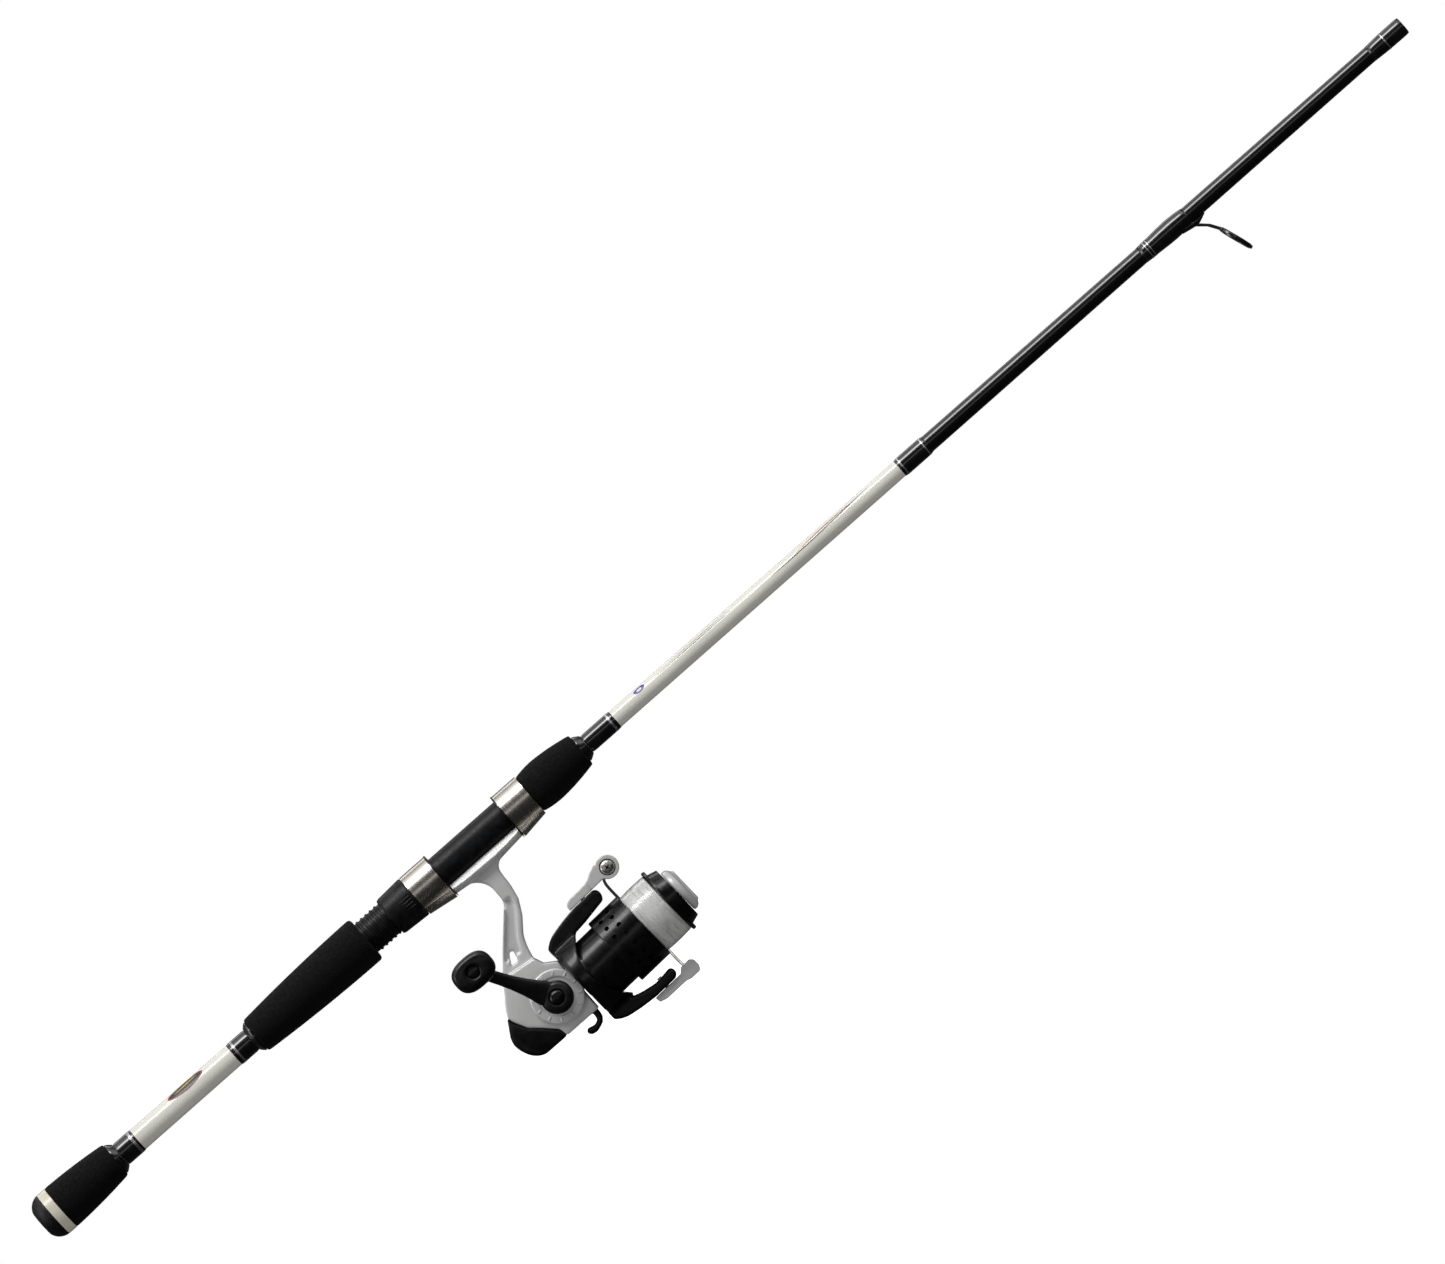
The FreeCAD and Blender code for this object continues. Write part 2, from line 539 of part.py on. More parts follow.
def make_covers():
    """The side cover, the black rear cover, their screws and the cap over the spare crank hole."""
    cover = Piece("side_cover", REEL_BASE)
    cover_at = dim.case_half - 2.5
    cover.slab("XZ", [CASE_OUTLINE], cover_at, dim.case_half)
    crank = (-dim.crank_back, dim.crank_rise)
    cover.slab("XZ", [Circle(crank, 4.4)], 0, 20, cut=True)
    spots = [(-5, -10.8), (-33.4, 11), (-14, 22)]
    cover.slab("XZ", [Circle(spot, 1.0) for spot in spots], 0, 20, cut=True)
    cover.slab("XZ", [Circle(spot, 2.1) for spot in spots], dim.case_half - 1, 20, cut=True)
    screws = Piece("case_screws", REEL_BASE)
    screws.slab("XZ", [Circle(spot, 1.0) for spot in spots], cover_at, dim.case_half - 1)
    screws.slab("XZ", [Circle(spot, 2.0) for spot in spots], dim.case_half - 1, dim.case_half)
    for width, length in ((0.4, 1.4), (1.4, 0.4)):
        screws.slab("XZ", [[(across - length, along - width), (across + length, along - width),
                            (across + length, along + width), (across - length, along + width)]
                           for across, along in spots], dim.case_half - 0.6, 20, cut=True)
    rear = Piece("rear_cover", REEL_BASE)
    outline = CAP_EDGE + [(-44.5, 4.3, -0.3), (-46, -0.8, -0.3), (-44.5, -6.9, -0.4),
                          (-40.9, -12.1, -0.4), (-35.8, -dim.case_floor)]
    rear.slab("XZ", [outline], -dim.case_half, dim.case_half)
    half = dim.case_half - 2.5
    rear.slab("XZ", [[(-20, -12.3), (-20, 9), (-39.4, 8.6), (-42.2, 3.6), (-43.7, -0.8),
                      (-42.3, -6), (-39.4, -10.4), (-35.6, -12.3)]], -half, half, cut=True)
    rear.slab("YZ", [Circle((0, 2), 1.2)], -50, -41, cut=True)
    rear.slab("YZ", [Circle((0, 2), 2.2)], -50, -44.2, cut=True)
    screws.slab("YZ", [Circle((0, 2), 1.15)], -44.2, -42.2)
    screws.slab("YZ", [Circle((0, 2), 2.0)], -45.2, -44.2)
    cap = Piece("spare_crank_cap", CRANK_BASE, OUTWARD)
    face = -dim.case_half
    cap.turn([(face, 0), (face, 5.6), (face - 1.4, 5.6), (face - 2, 5.0), (face - 2, 0)])
    cap.slab("XY", [[(face - 3, -3.2), (face - 3, 3.2), (face - 1.2, 3.2), (face - 1.2, -3.2)]],
             -0.6, 0.6, cut=True)
    bezel = Piece("crank_bezel", CRANK_BASE, OUTWARD)
    bezel.turn([(dim.case_half, 4.6), (dim.case_half, 14.3), (dim.case_half + 1, 14.3),
                (dim.case_half + 1.6, 13.7), (dim.case_half + 1.6, 10.6),
                (dim.case_half + 1.0, 10.2), (dim.case_half + 1.0, 4.6)])
    notches = [Circle((12.2 * math.cos(math.radians(30 * step)),
                       12.2 * math.sin(math.radians(30 * step))), 0.75) for step in range(12)]
    bezel.slab("YZ", notches, dim.case_half + 0.8, dim.case_half + 3, cut=True)


def make_front_housing():
    """The round plate on the case's front that holds the pinion bearing and one-way clutch."""
    housing = Piece("front_housing", REEL_BASE, TILT)
    housing.turn([
        (0.2, 6.05), (0.2, 12.9), (2.6, 12.9), (2.6, 10.4), (9, 10.4), (9, 8.6),
        (3.3, 8.6), (3.3, 6.05),
    ])
    bearing = Piece("pinion_bearing", REEL_BASE, TILT)
    bearing.turn([(0.3, 2.64), (0.3, 6.05), (3.1, 6.05), (3.1, 2.64)])
    clutch = Piece("one_way_clutch", REEL_BASE, TILT)
    clutch.turn([(3.4, 4.5), (3.4, 8.6), (8.8, 8.6), (8.8, 4.5)])
    lever_base = (dim.reel_at, 0, -dim.spool_drop - 13.2)
    lever = Piece("antireverse_lever", lever_base)
    lever.turn([(-6.3, 0.75), (-6.3, 1.7), (-1.7, 1.7), (-1.7, 0.75)])
    lever.slab("XZ", [[(-6.2, -1.1), (-1.8, -1.1), (-1.8, -3.6), (-0.9, -4.4), (-0.9, -6),
                       (-2.6, -7.8), (-9.6, -8.4), (-12.4, -8), (-12.9, -5.8), (-11.6, -5.2),
                       (-9.4, -6.2), (-4.6, -6.2), (-3.8, -5), (-4.6, -3.4), (-6.2, -2.4)]],
               -1.4, 1.4)
    pin = Piece("antireverse_pin", lever_base)
    pin.turn([(-8.2, 0), (-8.2, 0.7), (-1.0, 0.7), (-1.0, 0)])


# ---------------------------------------------------------------- crank and gears

def toothed(label, base, rotation, teeth, root, tip, root_half, tip_half, low, high, bore):
    """A spur wheel: a disc with one tooth repeated round it."""
    wheel = Piece(label, base, rotation)
    wheel.turn([(low, bore), (low, root), (high, root), (high, bore)])
    tooth = wheel.slab("YZ", [[(-root_half, root - 0.4), (-tip_half, tip), (tip_half, tip),
                               (root_half, root - 0.4)]], low, high)
    wheel.around(tooth, teeth)
    return wheel


def make_gears():
    """The crank's face gear, the rotor's pinion, and the pair of wheels that work the slider."""
    gear = Piece("main_gear", CRANK_BASE, OUTWARD)
    face = dim.gear_face
    radius = dim.gear_radius
    gear.turn([(face + 1.8, 4.2), (face + 1.8, radius), (face, radius), (face, radius - 2.2),
               (face + 0.4, radius - 2.4), (face + 0.4, dim.axle_radius),
               (9.6, dim.axle_radius), (9.6, 4.2)])
    tooth = gear.slab("YZ", [[(-0.42, radius - 2.1), (-0.42, radius - 0.05),
                              (0.42, radius - 0.05), (0.42, radius - 2.1)]], face - 0.8, face + 0.3)
    gear.around(tooth, DRIVING["gear_teeth"])
    spur_root, spur_tip = dim.spur_pitch_radius - 0.8, dim.spur_pitch_radius + 0.6
    half_tooth = 180 / DRIVING["spur_teeth"]
    centres = math.degrees(math.atan2(6.87, 13.33))
    towards = FreeCAD.Rotation(Vector(0, 1, 0), -90 - centres).multiply(OUTWARD)
    toothed("slider_drive_gear", CRANK_BASE, towards, DRIVING["spur_teeth"], spur_root,
            spur_tip, 0.85, 0.32, -10.2, -7.8, dim.axle_radius)
    away = FreeCAD.Rotation(Vector(0, 1, 0), 90 - centres + half_tooth).multiply(OUTWARD)
    base = (CRANK_BASE[0] - 13.33, 0, CRANK_BASE[2] - 6.87)
    wheel = toothed("oscillation_gear", base, away, DRIVING["spur_teeth"], spur_root,
                    spur_tip, 0.85, 0.32, -10.2, -7.8, 1.56)
    lean = math.radians(90 - centres + half_tooth)
    crank_pin = (dim.stroke / 2 * math.cos(lean), dim.stroke / 2 * math.sin(lean))
    wheel.slab("YZ", [Circle(crank_pin, 0.9)], -7.9, -6.8)
    post = Piece("oscillation_post", base, OUTWARD)
    post.turn([(-10.5, 0), (-10.5, 1.5), (-7.5, 1.5), (-7.5, 0)])
    bearings = Piece("crank_bearings", CRANK_BASE, OUTWARD)
    bearings.turn(*[[(low, 2.34), (low, 4.4), (low + 2.4, 4.4), (low + 2.4, 2.34)]
                    for low in (-13, 10.6)])


def make_pinion():
    """A helical pinion whose hub runs through the bearing and clutch and carries the rotor."""
    pinion = Piece("pinion_gear", REEL_BASE, TILT)
    hub = dim.pinion_hub
    pinion.turn([(-7.4, dim.pinion_bore), (-7.4, 2.15), (-0.3, 2.15), (-0.3, hub), (15.6, hub),
                 (15.6, dim.pinion_bore)])
    tooth = pinion.helix([(-7.4, 2.0), (-7.4, 3.0), (-6.9, 3.0), (-6.7, 2.0)], 19.5, 6.2)
    pinion.around(tooth, DRIVING["pinion_teeth"])
    sleeve_ring = Piece("clutch_sleeve", REEL_BASE, TILT)
    sleeve_ring.turn([(3.3, hub), (3.3, 4.35), (9.6, 4.35), (9.6, hub)])
    nut = Piece("rotor_nut", REEL_BASE, TILT)
    corners = [(4.4 * math.cos(math.radians(60 * step)), 4.4 * math.sin(math.radians(60 * step)))
               for step in range(6)]
    nut.slab("YZ", [corners, Circle((0, 0), hub)], 12.3, 15.2)


def make_crank():
    """The crank's axle, collar, curved arm and end cap."""
    axle = Piece("crank_axle", CRANK_BASE, OUTWARD)
    axle.turn([(-12.6, 0), (-12.6, dim.axle_radius), (34, dim.axle_radius), (34, 0)])
    collar = Piece("crank_collar", CRANK_BASE, OUTWARD)
    collar.turn([(14.9, dim.axle_radius), (14.9, 6.8), (18, 6.6), (27.6, 5.2),
                 (27.6, dim.axle_radius)])
    arm = Piece("crank_arm", CRANK_BASE, LEANING)
    arm.turn([(27.8, dim.axle_radius), (27.8, 7.2), (29, 8), (33, 8, 0.5), (36, 5),
              (36, 3.6), (34, 3.6), (34, dim.axle_radius)])
    reach = dim.crank_reach
    arm.slab("XZ", [[(29, 6), (31, 7), (35.5, 12, -0.6), (42.4, reach - 11, -0.3), (46.6, reach - 4),
                     (46.6, reach + 4.6), (50.4, reach + 4.6), (51, reach), (50.2, reach - 6, 0.4),
                     (46.2, reach - 12, 0.6), (36.4, 5), (33, 5)]], -3, 3)
    cap = Piece("crank_cap", CRANK_BASE, OUTWARD)
    cap.turn([(34.1, 0), (34.1, 3.6), (36.2, 3.6, 0.5), (37.4, 0)])
    pin = Piece("knob_pin", CRANK_BASE, LEANING)
    arm.slab("YZ", [Circle((0, reach), 1.5)], 40, 52, cut=True)
    for radius, low, high in ((1.5, 46.8, 79.8), (2.9, 78.2, 80), (2.6, 51.1, 52.4)):
        pin.slab("YZ", [Circle((0, reach), radius)], low, high)


def make_knob():
    """A paddle knob that turns on the pin, with a pressed-in end cap."""
    reach, lean = DRIVING["crank_reach"], math.radians(DRIVING["crank_lean"])
    base = (CRANK_BASE[0] - reach * math.sin(lean), 0, CRANK_BASE[2] + reach * math.cos(lean))
    knob = Piece("crank_knob", base, OUTWARD)
    sections = []
    for level, across, along in ((53, 6.0, 5.2), (58, 7.0, 5.8), (68, 10.4, 7.6), (80, 11, 8),
                                 (84, 10, 7.2)):
        drawing = knob.sketch("YZ", [], level)
        ellipse = Part.Ellipse(Vector(across, 0, 0), Vector(0, along, 0), Vector(0, 0, 0))
        drawing.addGeometry(ellipse)
        sections.append(drawing)
    loft = knob.feature("PartDesign::AdditiveLoft", "loft")
    loft.Profile = sections[0]
    loft.Sections = sections[1:]
    knob.slab("YZ", [Circle((0, 0), 1.58)], 50, 90, cut=True)
    knob.slab("YZ", [Circle((0, 0), 3.2)], 78, 90, cut=True)
    cap = Piece("knob_cap", base, OUTWARD)
    cap.turn([(80.6, 0), (80.6, 3.2), (83.6, 3.2, 0.2), (84.2, 0)])


# ---------------------------------------------------------------- rotor and bail

def make_rotor():
    """A cup under the spool's skirt with two arms that carry the bail."""
    rotor = Piece("rotor", REEL_BASE, TILT)
    inner = dim.cup_radius - dim.cup_wall
    hub = dim.pinion_hub
    rotor.turn([
        (0, 20), (0, 21.2), (6, 21.4), (8, dim.cup_radius), (dim.cup_front, dim.cup_radius),
        (dim.cup_front, inner), (12.2, inner), (12.2, hub), (9.7, hub), (9.7, 15.6),
        (6.4, inner), (4.4, 20),
    ])
    top = dim.arm_top
    rotor.slab("XZ", [[
        (0, 20.4), (0, 24.4, 0.5), (7, 28.4, 0.2), (20, 30.5), (24, top), (37, top, 0.7),
        (39.6, 27.8, 0.6), (37.6, 23.4), (24, 21.6), (11.6, 20.7, -0.5), (10.4, 17), (6, 16.8),
        (4.5, 20.4),
    ]], -dim.arm_half, dim.arm_half)
    rotor.slab("XZ", [[
        (0, -20.4), (0, -24.4, -0.5), (7, -28.4, -0.2), (20, -30.5), (24, -top),
        (37, -top, -0.7), (39.6, -27.8, -0.6), (37.6, -25), (30, -25.8, 0.2), (24, -25, 0.3),
        (15, -22.4), (11.4, -20.7, 0.5), (10.4, -17), (6, -16.8), (4.5, -20.4),
    ]], -dim.arm_half, dim.arm_half)
    rotor.slab("XY", [Circle((dim.bail_at, 0), 1.3)], -40, 40, cut=True)
    rotor.slab("XY", [[(13, -2.2), (13, 2.2), (27, 2.2), (27, -2.2)]], 19, 28.4, cut=True)
    screws = Piece("bail_pivot_screws", REEL_BASE, TILT)
    for side in (1, -1):
        levels = sorted((side * 24.8, side * (dim.bail_seat.value + 3.1)))
        screws.slab("XY", [Circle((dim.bail_at, 0), 1.3)], levels[0], levels[1])
        heads = sorted((side * (dim.bail_seat.value + 3.1), side * (dim.bail_seat.value + 4.3)))
        screws.slab("XY", [Circle((dim.bail_at, 0), 2.6)], heads[0], heads[1])
    spring = document.addObject("Part::Feature", "bail_spring")
    path = Part.makeHelix(1.6, 11, 1.5)
    wire_edge = Part.Wire(path.Edges)
    section = Part.Wire([Part.makeCircle(0.28, Vector(1.5, 0, 0), Vector(0, 1, 0))])
    spring.Shape = wire_edge.makePipeShell([section], True, False)
    spring.Label = "bail_spring"
    place(spring, on_spool_axis(14.5, 25.2), TILT.multiply(SPRING_AXIS))


def rounded_route(points):
    """Straight runs joined by tangent arcs, each as large as its two runs allow."""
    points = [Vector(*point) for point in points]
    edges = []
    last = points[0]
    for before, corner, after in zip(points, points[1:], points[2:]):
        back, ahead = (before - corner), (after - corner)
        trim = 0.49 * min(back.Length, ahead.Length)
        back.normalize()
        ahead.normalize()
        start, end = corner + back * trim, corner + ahead * trim
        half_turn = (math.pi - back.getAngle(ahead)) / 2
        radius = trim / math.tan(half_turn)
        inward = back + ahead
        inward.normalize()
        middle = corner + inward * (radius / math.cos(half_turn) - radius)
        edges.append(Part.LineSegment(last, start).toShape())
        edges.append(Part.Arc(start, middle, end).toShape())
        last = end
    edges.append(Part.LineSegment(last, points[-1]).toShape())
    return Part.Wire(edges)


def make_bail():
    """The roller arm, the far lever, the wire between them and the line roller."""
    seat = dim.bail_seat
    arm = Piece("roller_arm", REEL_BASE, TILT)
    end, out = dim.roller_at, dim.roller_out
    arm.slab("XZ", [[
        (22, seat), (22.4, seat + 2.6, 0.6), (27, seat + 4.4), (36, seat + 4.6, -0.6),
        (43, out + 4.2), (47, out + 5.6), (50, 31), (44, seat), (38, seat),
    ]], -4.8, 4)
    arm.slab("XZ", [[(38, seat), (38, seat + 4.6), (43, out + 4.2), (47, out + 5.6),
                     (50, 31), (44, seat)]], -9, -4.3)
    arm.slab("XZ", [Circle((end, out), 6.2)], -9, -4.3)
    arm.slab("XY", [Circle((dim.bail_at, 0), 1.36)], 20, 60, cut=True)
    arm.slab("XY", [Circle((dim.bail_at, 0), 2.75)], seat + 3, 60, cut=True)
    arm.slab("XZ", [Circle((end, out), 7.2)], -4.2, 20, cut=True)
    arm.slab("XZ", [Circle((end, out), 1.4)], -20, 20, cut=True)
    lever = Piece("far_lever", REEL_BASE, TILT)
    lever.slab("XZ", [[
        (22.5, -seat), (23, -seat - 3.2), (27, -seat - 4.4), (40, -seat - 4.6), (43, -36.8),
        (49, -36.8), (50.4, -34.6), (50.4, -30.6), (48.6, -28.8), (43, -28.8), (41.2, -30.4),
        (40.6, -seat),
    ]], -4.5, 4.5)
    lever.slab("XY", [Circle((dim.bail_at, 0), 1.36)], -60, -20, cut=True)
    lever.slab("XY", [Circle((dim.bail_at, 0), 2.75)], -60, -seat - 3, cut=True)
    lever.slab("XZ", [Circle((45.8, -33), 0.8)], 2.2, 9, cut=True)
    roller = Piece("line_roller", on_spool_axis(end, out), TILT.multiply(OUTWARD))
    roller.turn([(-3.9, 1.45), (-3.9, 3.8), (-3, 3.8), (-1.4, 2.9), (1.6, 2.9), (3, 3.8),
                 (3.9, 3.8), (3.9, 1.45)])
    holder = Piece("wire_holder", on_spool_axis(end, out), TILT.multiply(OUTWARD))
    holder.turn([(-4.2, 0), (-4.2, 4.2), (-5.4, 4.0), (-9, 1.4), (-9, 0)])
    holder.turn([(-4.3, 0), (-4.3, 1.4), (9.2, 1.4), (9.2, 0)])
    holder.turn([(9.2, 0), (9.2, 3), (10.2, 2.6), (10.2, 0)])
    wire = document.addObject("Part::Feature", "bail_wire")
    level = DRIVING["wire_at"]
    route = rounded_route([
        (51.4, 9.0, 34.2), (50.4, 13.0, 33.2), (46.4, 19.5, 29.8), (level, 29, 25.6),
        (level, 41.5, 15.5), (level, 46.8, 0), (level, 41.5, -15.5), (level, 29, -25.6),
        (level + 0.6, 17.5, -30.6), (45.8, 10, -33), (45.8, 2.2, -33),
    ])
    first = route.Edges[0]
    start, direction = first.valueAt(first.FirstParameter), first.tangentAt(first.FirstParameter)
    section = Part.Wire([Part.makeCircle(DRIVING["wire_radius"], start, direction)])
    wire.Shape = route.makePipeShell([section], True, False)
    wire.Label = "bail_wire"
    place(wire, REEL_BASE, TILT)


# ---------------------------------------------------------------- shaft, spool and drag

def make_shaft():
    """The main shaft, which does not turn, and the slider that moves it fore and aft."""
    shaft = Piece("main_shaft", REEL_BASE, TILT)
    shaft.turn([(-28, 0), (-28, dim.shaft_radius), (64, dim.shaft_radius), (64.4, 1.35),
                (72, 1.35), (72, 0)])
    slider = Piece("oscillation_slider", REEL_BASE, TILT)
    slider.slab("XZ", [[(-23.2, -7.6), (-23.2, 3.6), (-16.9, 3.6), (-16.9, -7.6)]], -2.6, 6.5)
    slider.slab("YZ", [Circle((0, 0), dim.shaft_radius)], -40, 0, cut=True)
    slider.slab("XZ", [[(-21.2, -7), (-21.2, 3), (-18.9, 3), (-18.9, -7)]], 3.8, 10, cut=True)


def make_spool():
    """The spool with its drilled skirt, the wound line, and the ratchet behind the hub."""
    spool = Piece("spool", REEL_BASE, TILT)
    inner = dim.skirt_radius - dim.skirt_wall
    back, front, core = dim.line_back, dim.line_front, dim.arbor_radius
    spool.turn([
        (dim.skirt_back, inner), (dim.skirt_back, dim.skirt_radius - 0.3),
        (dim.skirt_back + 0.6, dim.skirt_radius), (back, dim.skirt_radius), (back, core),
        (front, core), (front, dim.lip_radius - 0.5), (front + 0.8, dim.lip_radius),
        (front + 2.1, dim.lip_radius - 0.4), (front + 2.1, 17), (front + 7.1, 15.5),
        (front + 7.1, 11.2), (55, 11.2), (55, 1.6), (46, 1.6), (46, 4), (52.5, 4),
        (52.5, core - 1.2), (back - 1.4, core - 1.2), (back - 1.4, inner),
    ])
    for station, offset in ((29.5, 0), (35.5, 9)):
        across = 0 if offset == 0 else dim.skirt_radius.value * math.sin(math.radians(offset))
        hole = spool.slab("XY", [Circle((station, across), 1.3)], 15, 25, cut=True)
        spool.around(hole, 20)
    line = Piece("line_winding", REEL_BASE, TILT)
    line.turn([(back, core), (back, dim.line_radius - 0.3, 0.6), (front, dim.line_radius - 0.3),
               (front, core)])
    toothed("click_ratchet", REEL_BASE, TILT, 24, 7.2, 8.2, 0.5, 0.2, 48, 50, 4.0)


def make_drag():
    """The drag stack in the spool's nose: washers with their clip, disc springs, nut and knob."""
    washers = Piece("drag_washers", REEL_BASE, TILT)
    clip = [(66.0, 9.8), (66.0, 11.2), (66.7, 11.2), (66.7, 9.8)]
    washers.turn(clip, *[[(low, 1.62), (low, 10.8), (low + 0.8, 10.8), (low + 0.8, 1.62)]
                         for low in (55.0, 56.0, 57.0, 58.0)])
    knob = Piece("drag_knob", REEL_BASE, TILT)
    front, radius = dim.knob_front, dim.drag_knob_radius
    knob.turn([(front - 5.9, 10.6), (front - 5.9, radius), (front - 3.6, radius, 0.4),
               (front - 1.2, radius - 2.6), (front - 1.2, 0), (front - 2.1, 0),
               (front - 2.1, 4.3), (front - 5.6, 4.3), (front - 5.6, 5.6), (front - 2.4, 5.6),
               (front - 2.4, 10.6)])
    knob.slab("YZ", [[(-9.8, -1.3, 1.0), (-9.8, 1.3), (9.8, 1.3, 1.0), (9.8, -1.3)]],
              front - 1.6, front)
    nut = Piece("drag_nut", REEL_BASE, TILT)
    corners = [(4.2 * math.cos(math.radians(60 * step)), 4.2 * math.sin(math.radians(60 * step)))
               for step in range(6)]
    nut.slab("YZ", [corners, Circle((0, 0), 1.4)], 68.9, 71.9)
    spring = Piece("drag_spring", REEL_BASE, TILT)
    discs = []
    for count in range(7):
        low = 59.5 + 0.95 * count
        bore, rim = (0, 0.5) if count % 2 == 0 else (0.5, 0)
        discs.append([(low + bore, 1.8), (low + rim, 4.2), (low + rim + 0.4, 4.2),
                      (low + bore + 0.4, 1.8)])
    spring.turn(*discs)


def check_and_export():
    """Stops on any failed object, then writes each sub-part to its own file."""
    document.recompute()
    failed = [item.Name for item in document.Objects if {"Invalid", "Error"} & set(item.State)]
    if failed:
        raise RuntimeError(f"failed objects: {failed}")
    os.makedirs("parts", exist_ok=True)
    pieces = [item for item in document.Objects if item.TypeId == "PartDesign::Body"
              or (item.TypeId == "Part::Feature" and not item.InList)]
    broken = [item.Label for item in pieces if item.Shape.isNull() or not item.Shape.isValid()]
    if broken:
        raise RuntimeError(f"pieces with no valid shape: {broken}")
    for item in pieces:
        item.Shape.exportStep(f"parts/{item.Label}.step")
    print(len(pieces), "pieces written")


make_blank()
make_butt()
make_grips()
make_wraps()
make_seat()
make_hoods()
make_guide()
make_reel_body()
make_covers()
make_front_housing()
make_gears()
make_pinion()
make_crank()
make_knob()
make_rotor()
make_bail()
make_shaft()
make_spool()
make_drag()
check_and_export()
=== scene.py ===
import json
import math

import bmesh
import bpy
from mathutils import Matrix, Vector


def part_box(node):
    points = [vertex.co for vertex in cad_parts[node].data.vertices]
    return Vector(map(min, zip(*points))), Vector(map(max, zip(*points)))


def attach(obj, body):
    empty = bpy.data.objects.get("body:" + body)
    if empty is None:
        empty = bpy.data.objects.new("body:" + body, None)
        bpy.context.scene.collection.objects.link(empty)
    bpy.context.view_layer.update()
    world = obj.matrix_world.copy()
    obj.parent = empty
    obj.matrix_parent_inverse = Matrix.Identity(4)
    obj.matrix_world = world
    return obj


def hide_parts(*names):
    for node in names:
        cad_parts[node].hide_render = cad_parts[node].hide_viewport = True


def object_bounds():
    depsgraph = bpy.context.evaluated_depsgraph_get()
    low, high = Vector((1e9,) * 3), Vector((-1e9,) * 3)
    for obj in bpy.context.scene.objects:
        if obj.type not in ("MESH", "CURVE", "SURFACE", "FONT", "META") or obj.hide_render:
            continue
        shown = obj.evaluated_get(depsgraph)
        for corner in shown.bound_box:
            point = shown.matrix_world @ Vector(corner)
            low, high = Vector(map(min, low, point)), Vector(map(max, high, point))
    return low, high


# A spinning rod's butt section with its reel, in the CAD frame: +X runs along the rod from the
# butt to the ferrule and the reel hangs towards -Z. Camera, lights and floor are in metres. The
# pieces' sizes are in millimetres, and MM turns them into metres.

MM = 0.001

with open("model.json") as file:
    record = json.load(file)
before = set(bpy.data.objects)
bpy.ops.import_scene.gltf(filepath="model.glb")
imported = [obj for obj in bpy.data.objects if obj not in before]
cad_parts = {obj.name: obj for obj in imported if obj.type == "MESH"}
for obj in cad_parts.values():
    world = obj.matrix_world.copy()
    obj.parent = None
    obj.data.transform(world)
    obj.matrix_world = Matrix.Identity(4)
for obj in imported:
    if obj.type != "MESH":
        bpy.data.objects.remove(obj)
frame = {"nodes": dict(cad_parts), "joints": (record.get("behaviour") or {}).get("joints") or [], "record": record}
cad_low, cad_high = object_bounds()
nodes = frame["nodes"]
joints = {joint["name"]: joint for joint in frame["joints"]}
body_of_node = {node: body for body, members in frame["record"]["behaviour"]["bodies"].items()
                for node in members}
slot_of_node = {part["node"]: part["material_slot"] for part in frame["record"]["subparts"]}

SPOOL_ORIGIN = Vector(joints["rotor_spin"]["pos_m"])
SPOOL_AXIS = Vector(joints["rotor_spin"]["axis"]).normalized()
SPOOL_TILT = math.atan2(SPOOL_AXIS.z, SPOOL_AXIS.x)
SPOOL_FRAME = Matrix.Translation(SPOOL_ORIGIN) @ Matrix.Rotation(-SPOOL_TILT, 4, "Y")
CRANK_ORIGIN = Vector(joints["crank_turn"]["pos_m"])
CRANK_FRAME = Matrix.Translation(CRANK_ORIGIN) @ Matrix.Rotation(math.radians(-90), 4, "Z")
KNOB_ORIGIN = Vector(joints["knob_spin"]["pos_m"])

# The painted blank: its butt end, the ferrule socket, where the white paint ends, and its straight
# tapers as (start, radius there, end, radius there).
BLANK_START = 3.5
SOCKET_RADIUS = 3.4
SOCKET_DEPTH = 60
WHITE_PAINT_END = 592
BLANK_TAPERS = ((3.5, 6.4, 145, 6.2), (145, 6.2, 370, 5.0), (370, 5.0, 927, 4.4))


# ---------------------------------------------------------------- camera and light

def make_camera():
    """Side-on to the rod, which rises to the upper right of the picture, through a long lens."""
    roll = math.radians(41.38)
    target = Vector((0.4610, 0.0, -0.0028))
    frame_width = 0.7385
    data = bpy.data.cameras.new("camera")
    data.lens = 400
    data.sensor_width = 36
    data.clip_start = 0.1
    data.clip_end = 100
    distance = frame_width * data.lens / data.sensor_width
    camera = bpy.data.objects.new("camera", data)
    bpy.context.scene.collection.objects.link(camera)
    right = Vector((math.cos(roll), 0, -math.sin(roll)))
    upward = Vector((math.sin(roll), 0, math.cos(roll)))
    back = right.cross(upward)
    turn = Matrix((right, upward, back)).transposed().to_4x4()
    camera.matrix_world = Matrix.Translation(target + back * distance) @ turn
    bpy.context.scene.camera = camera


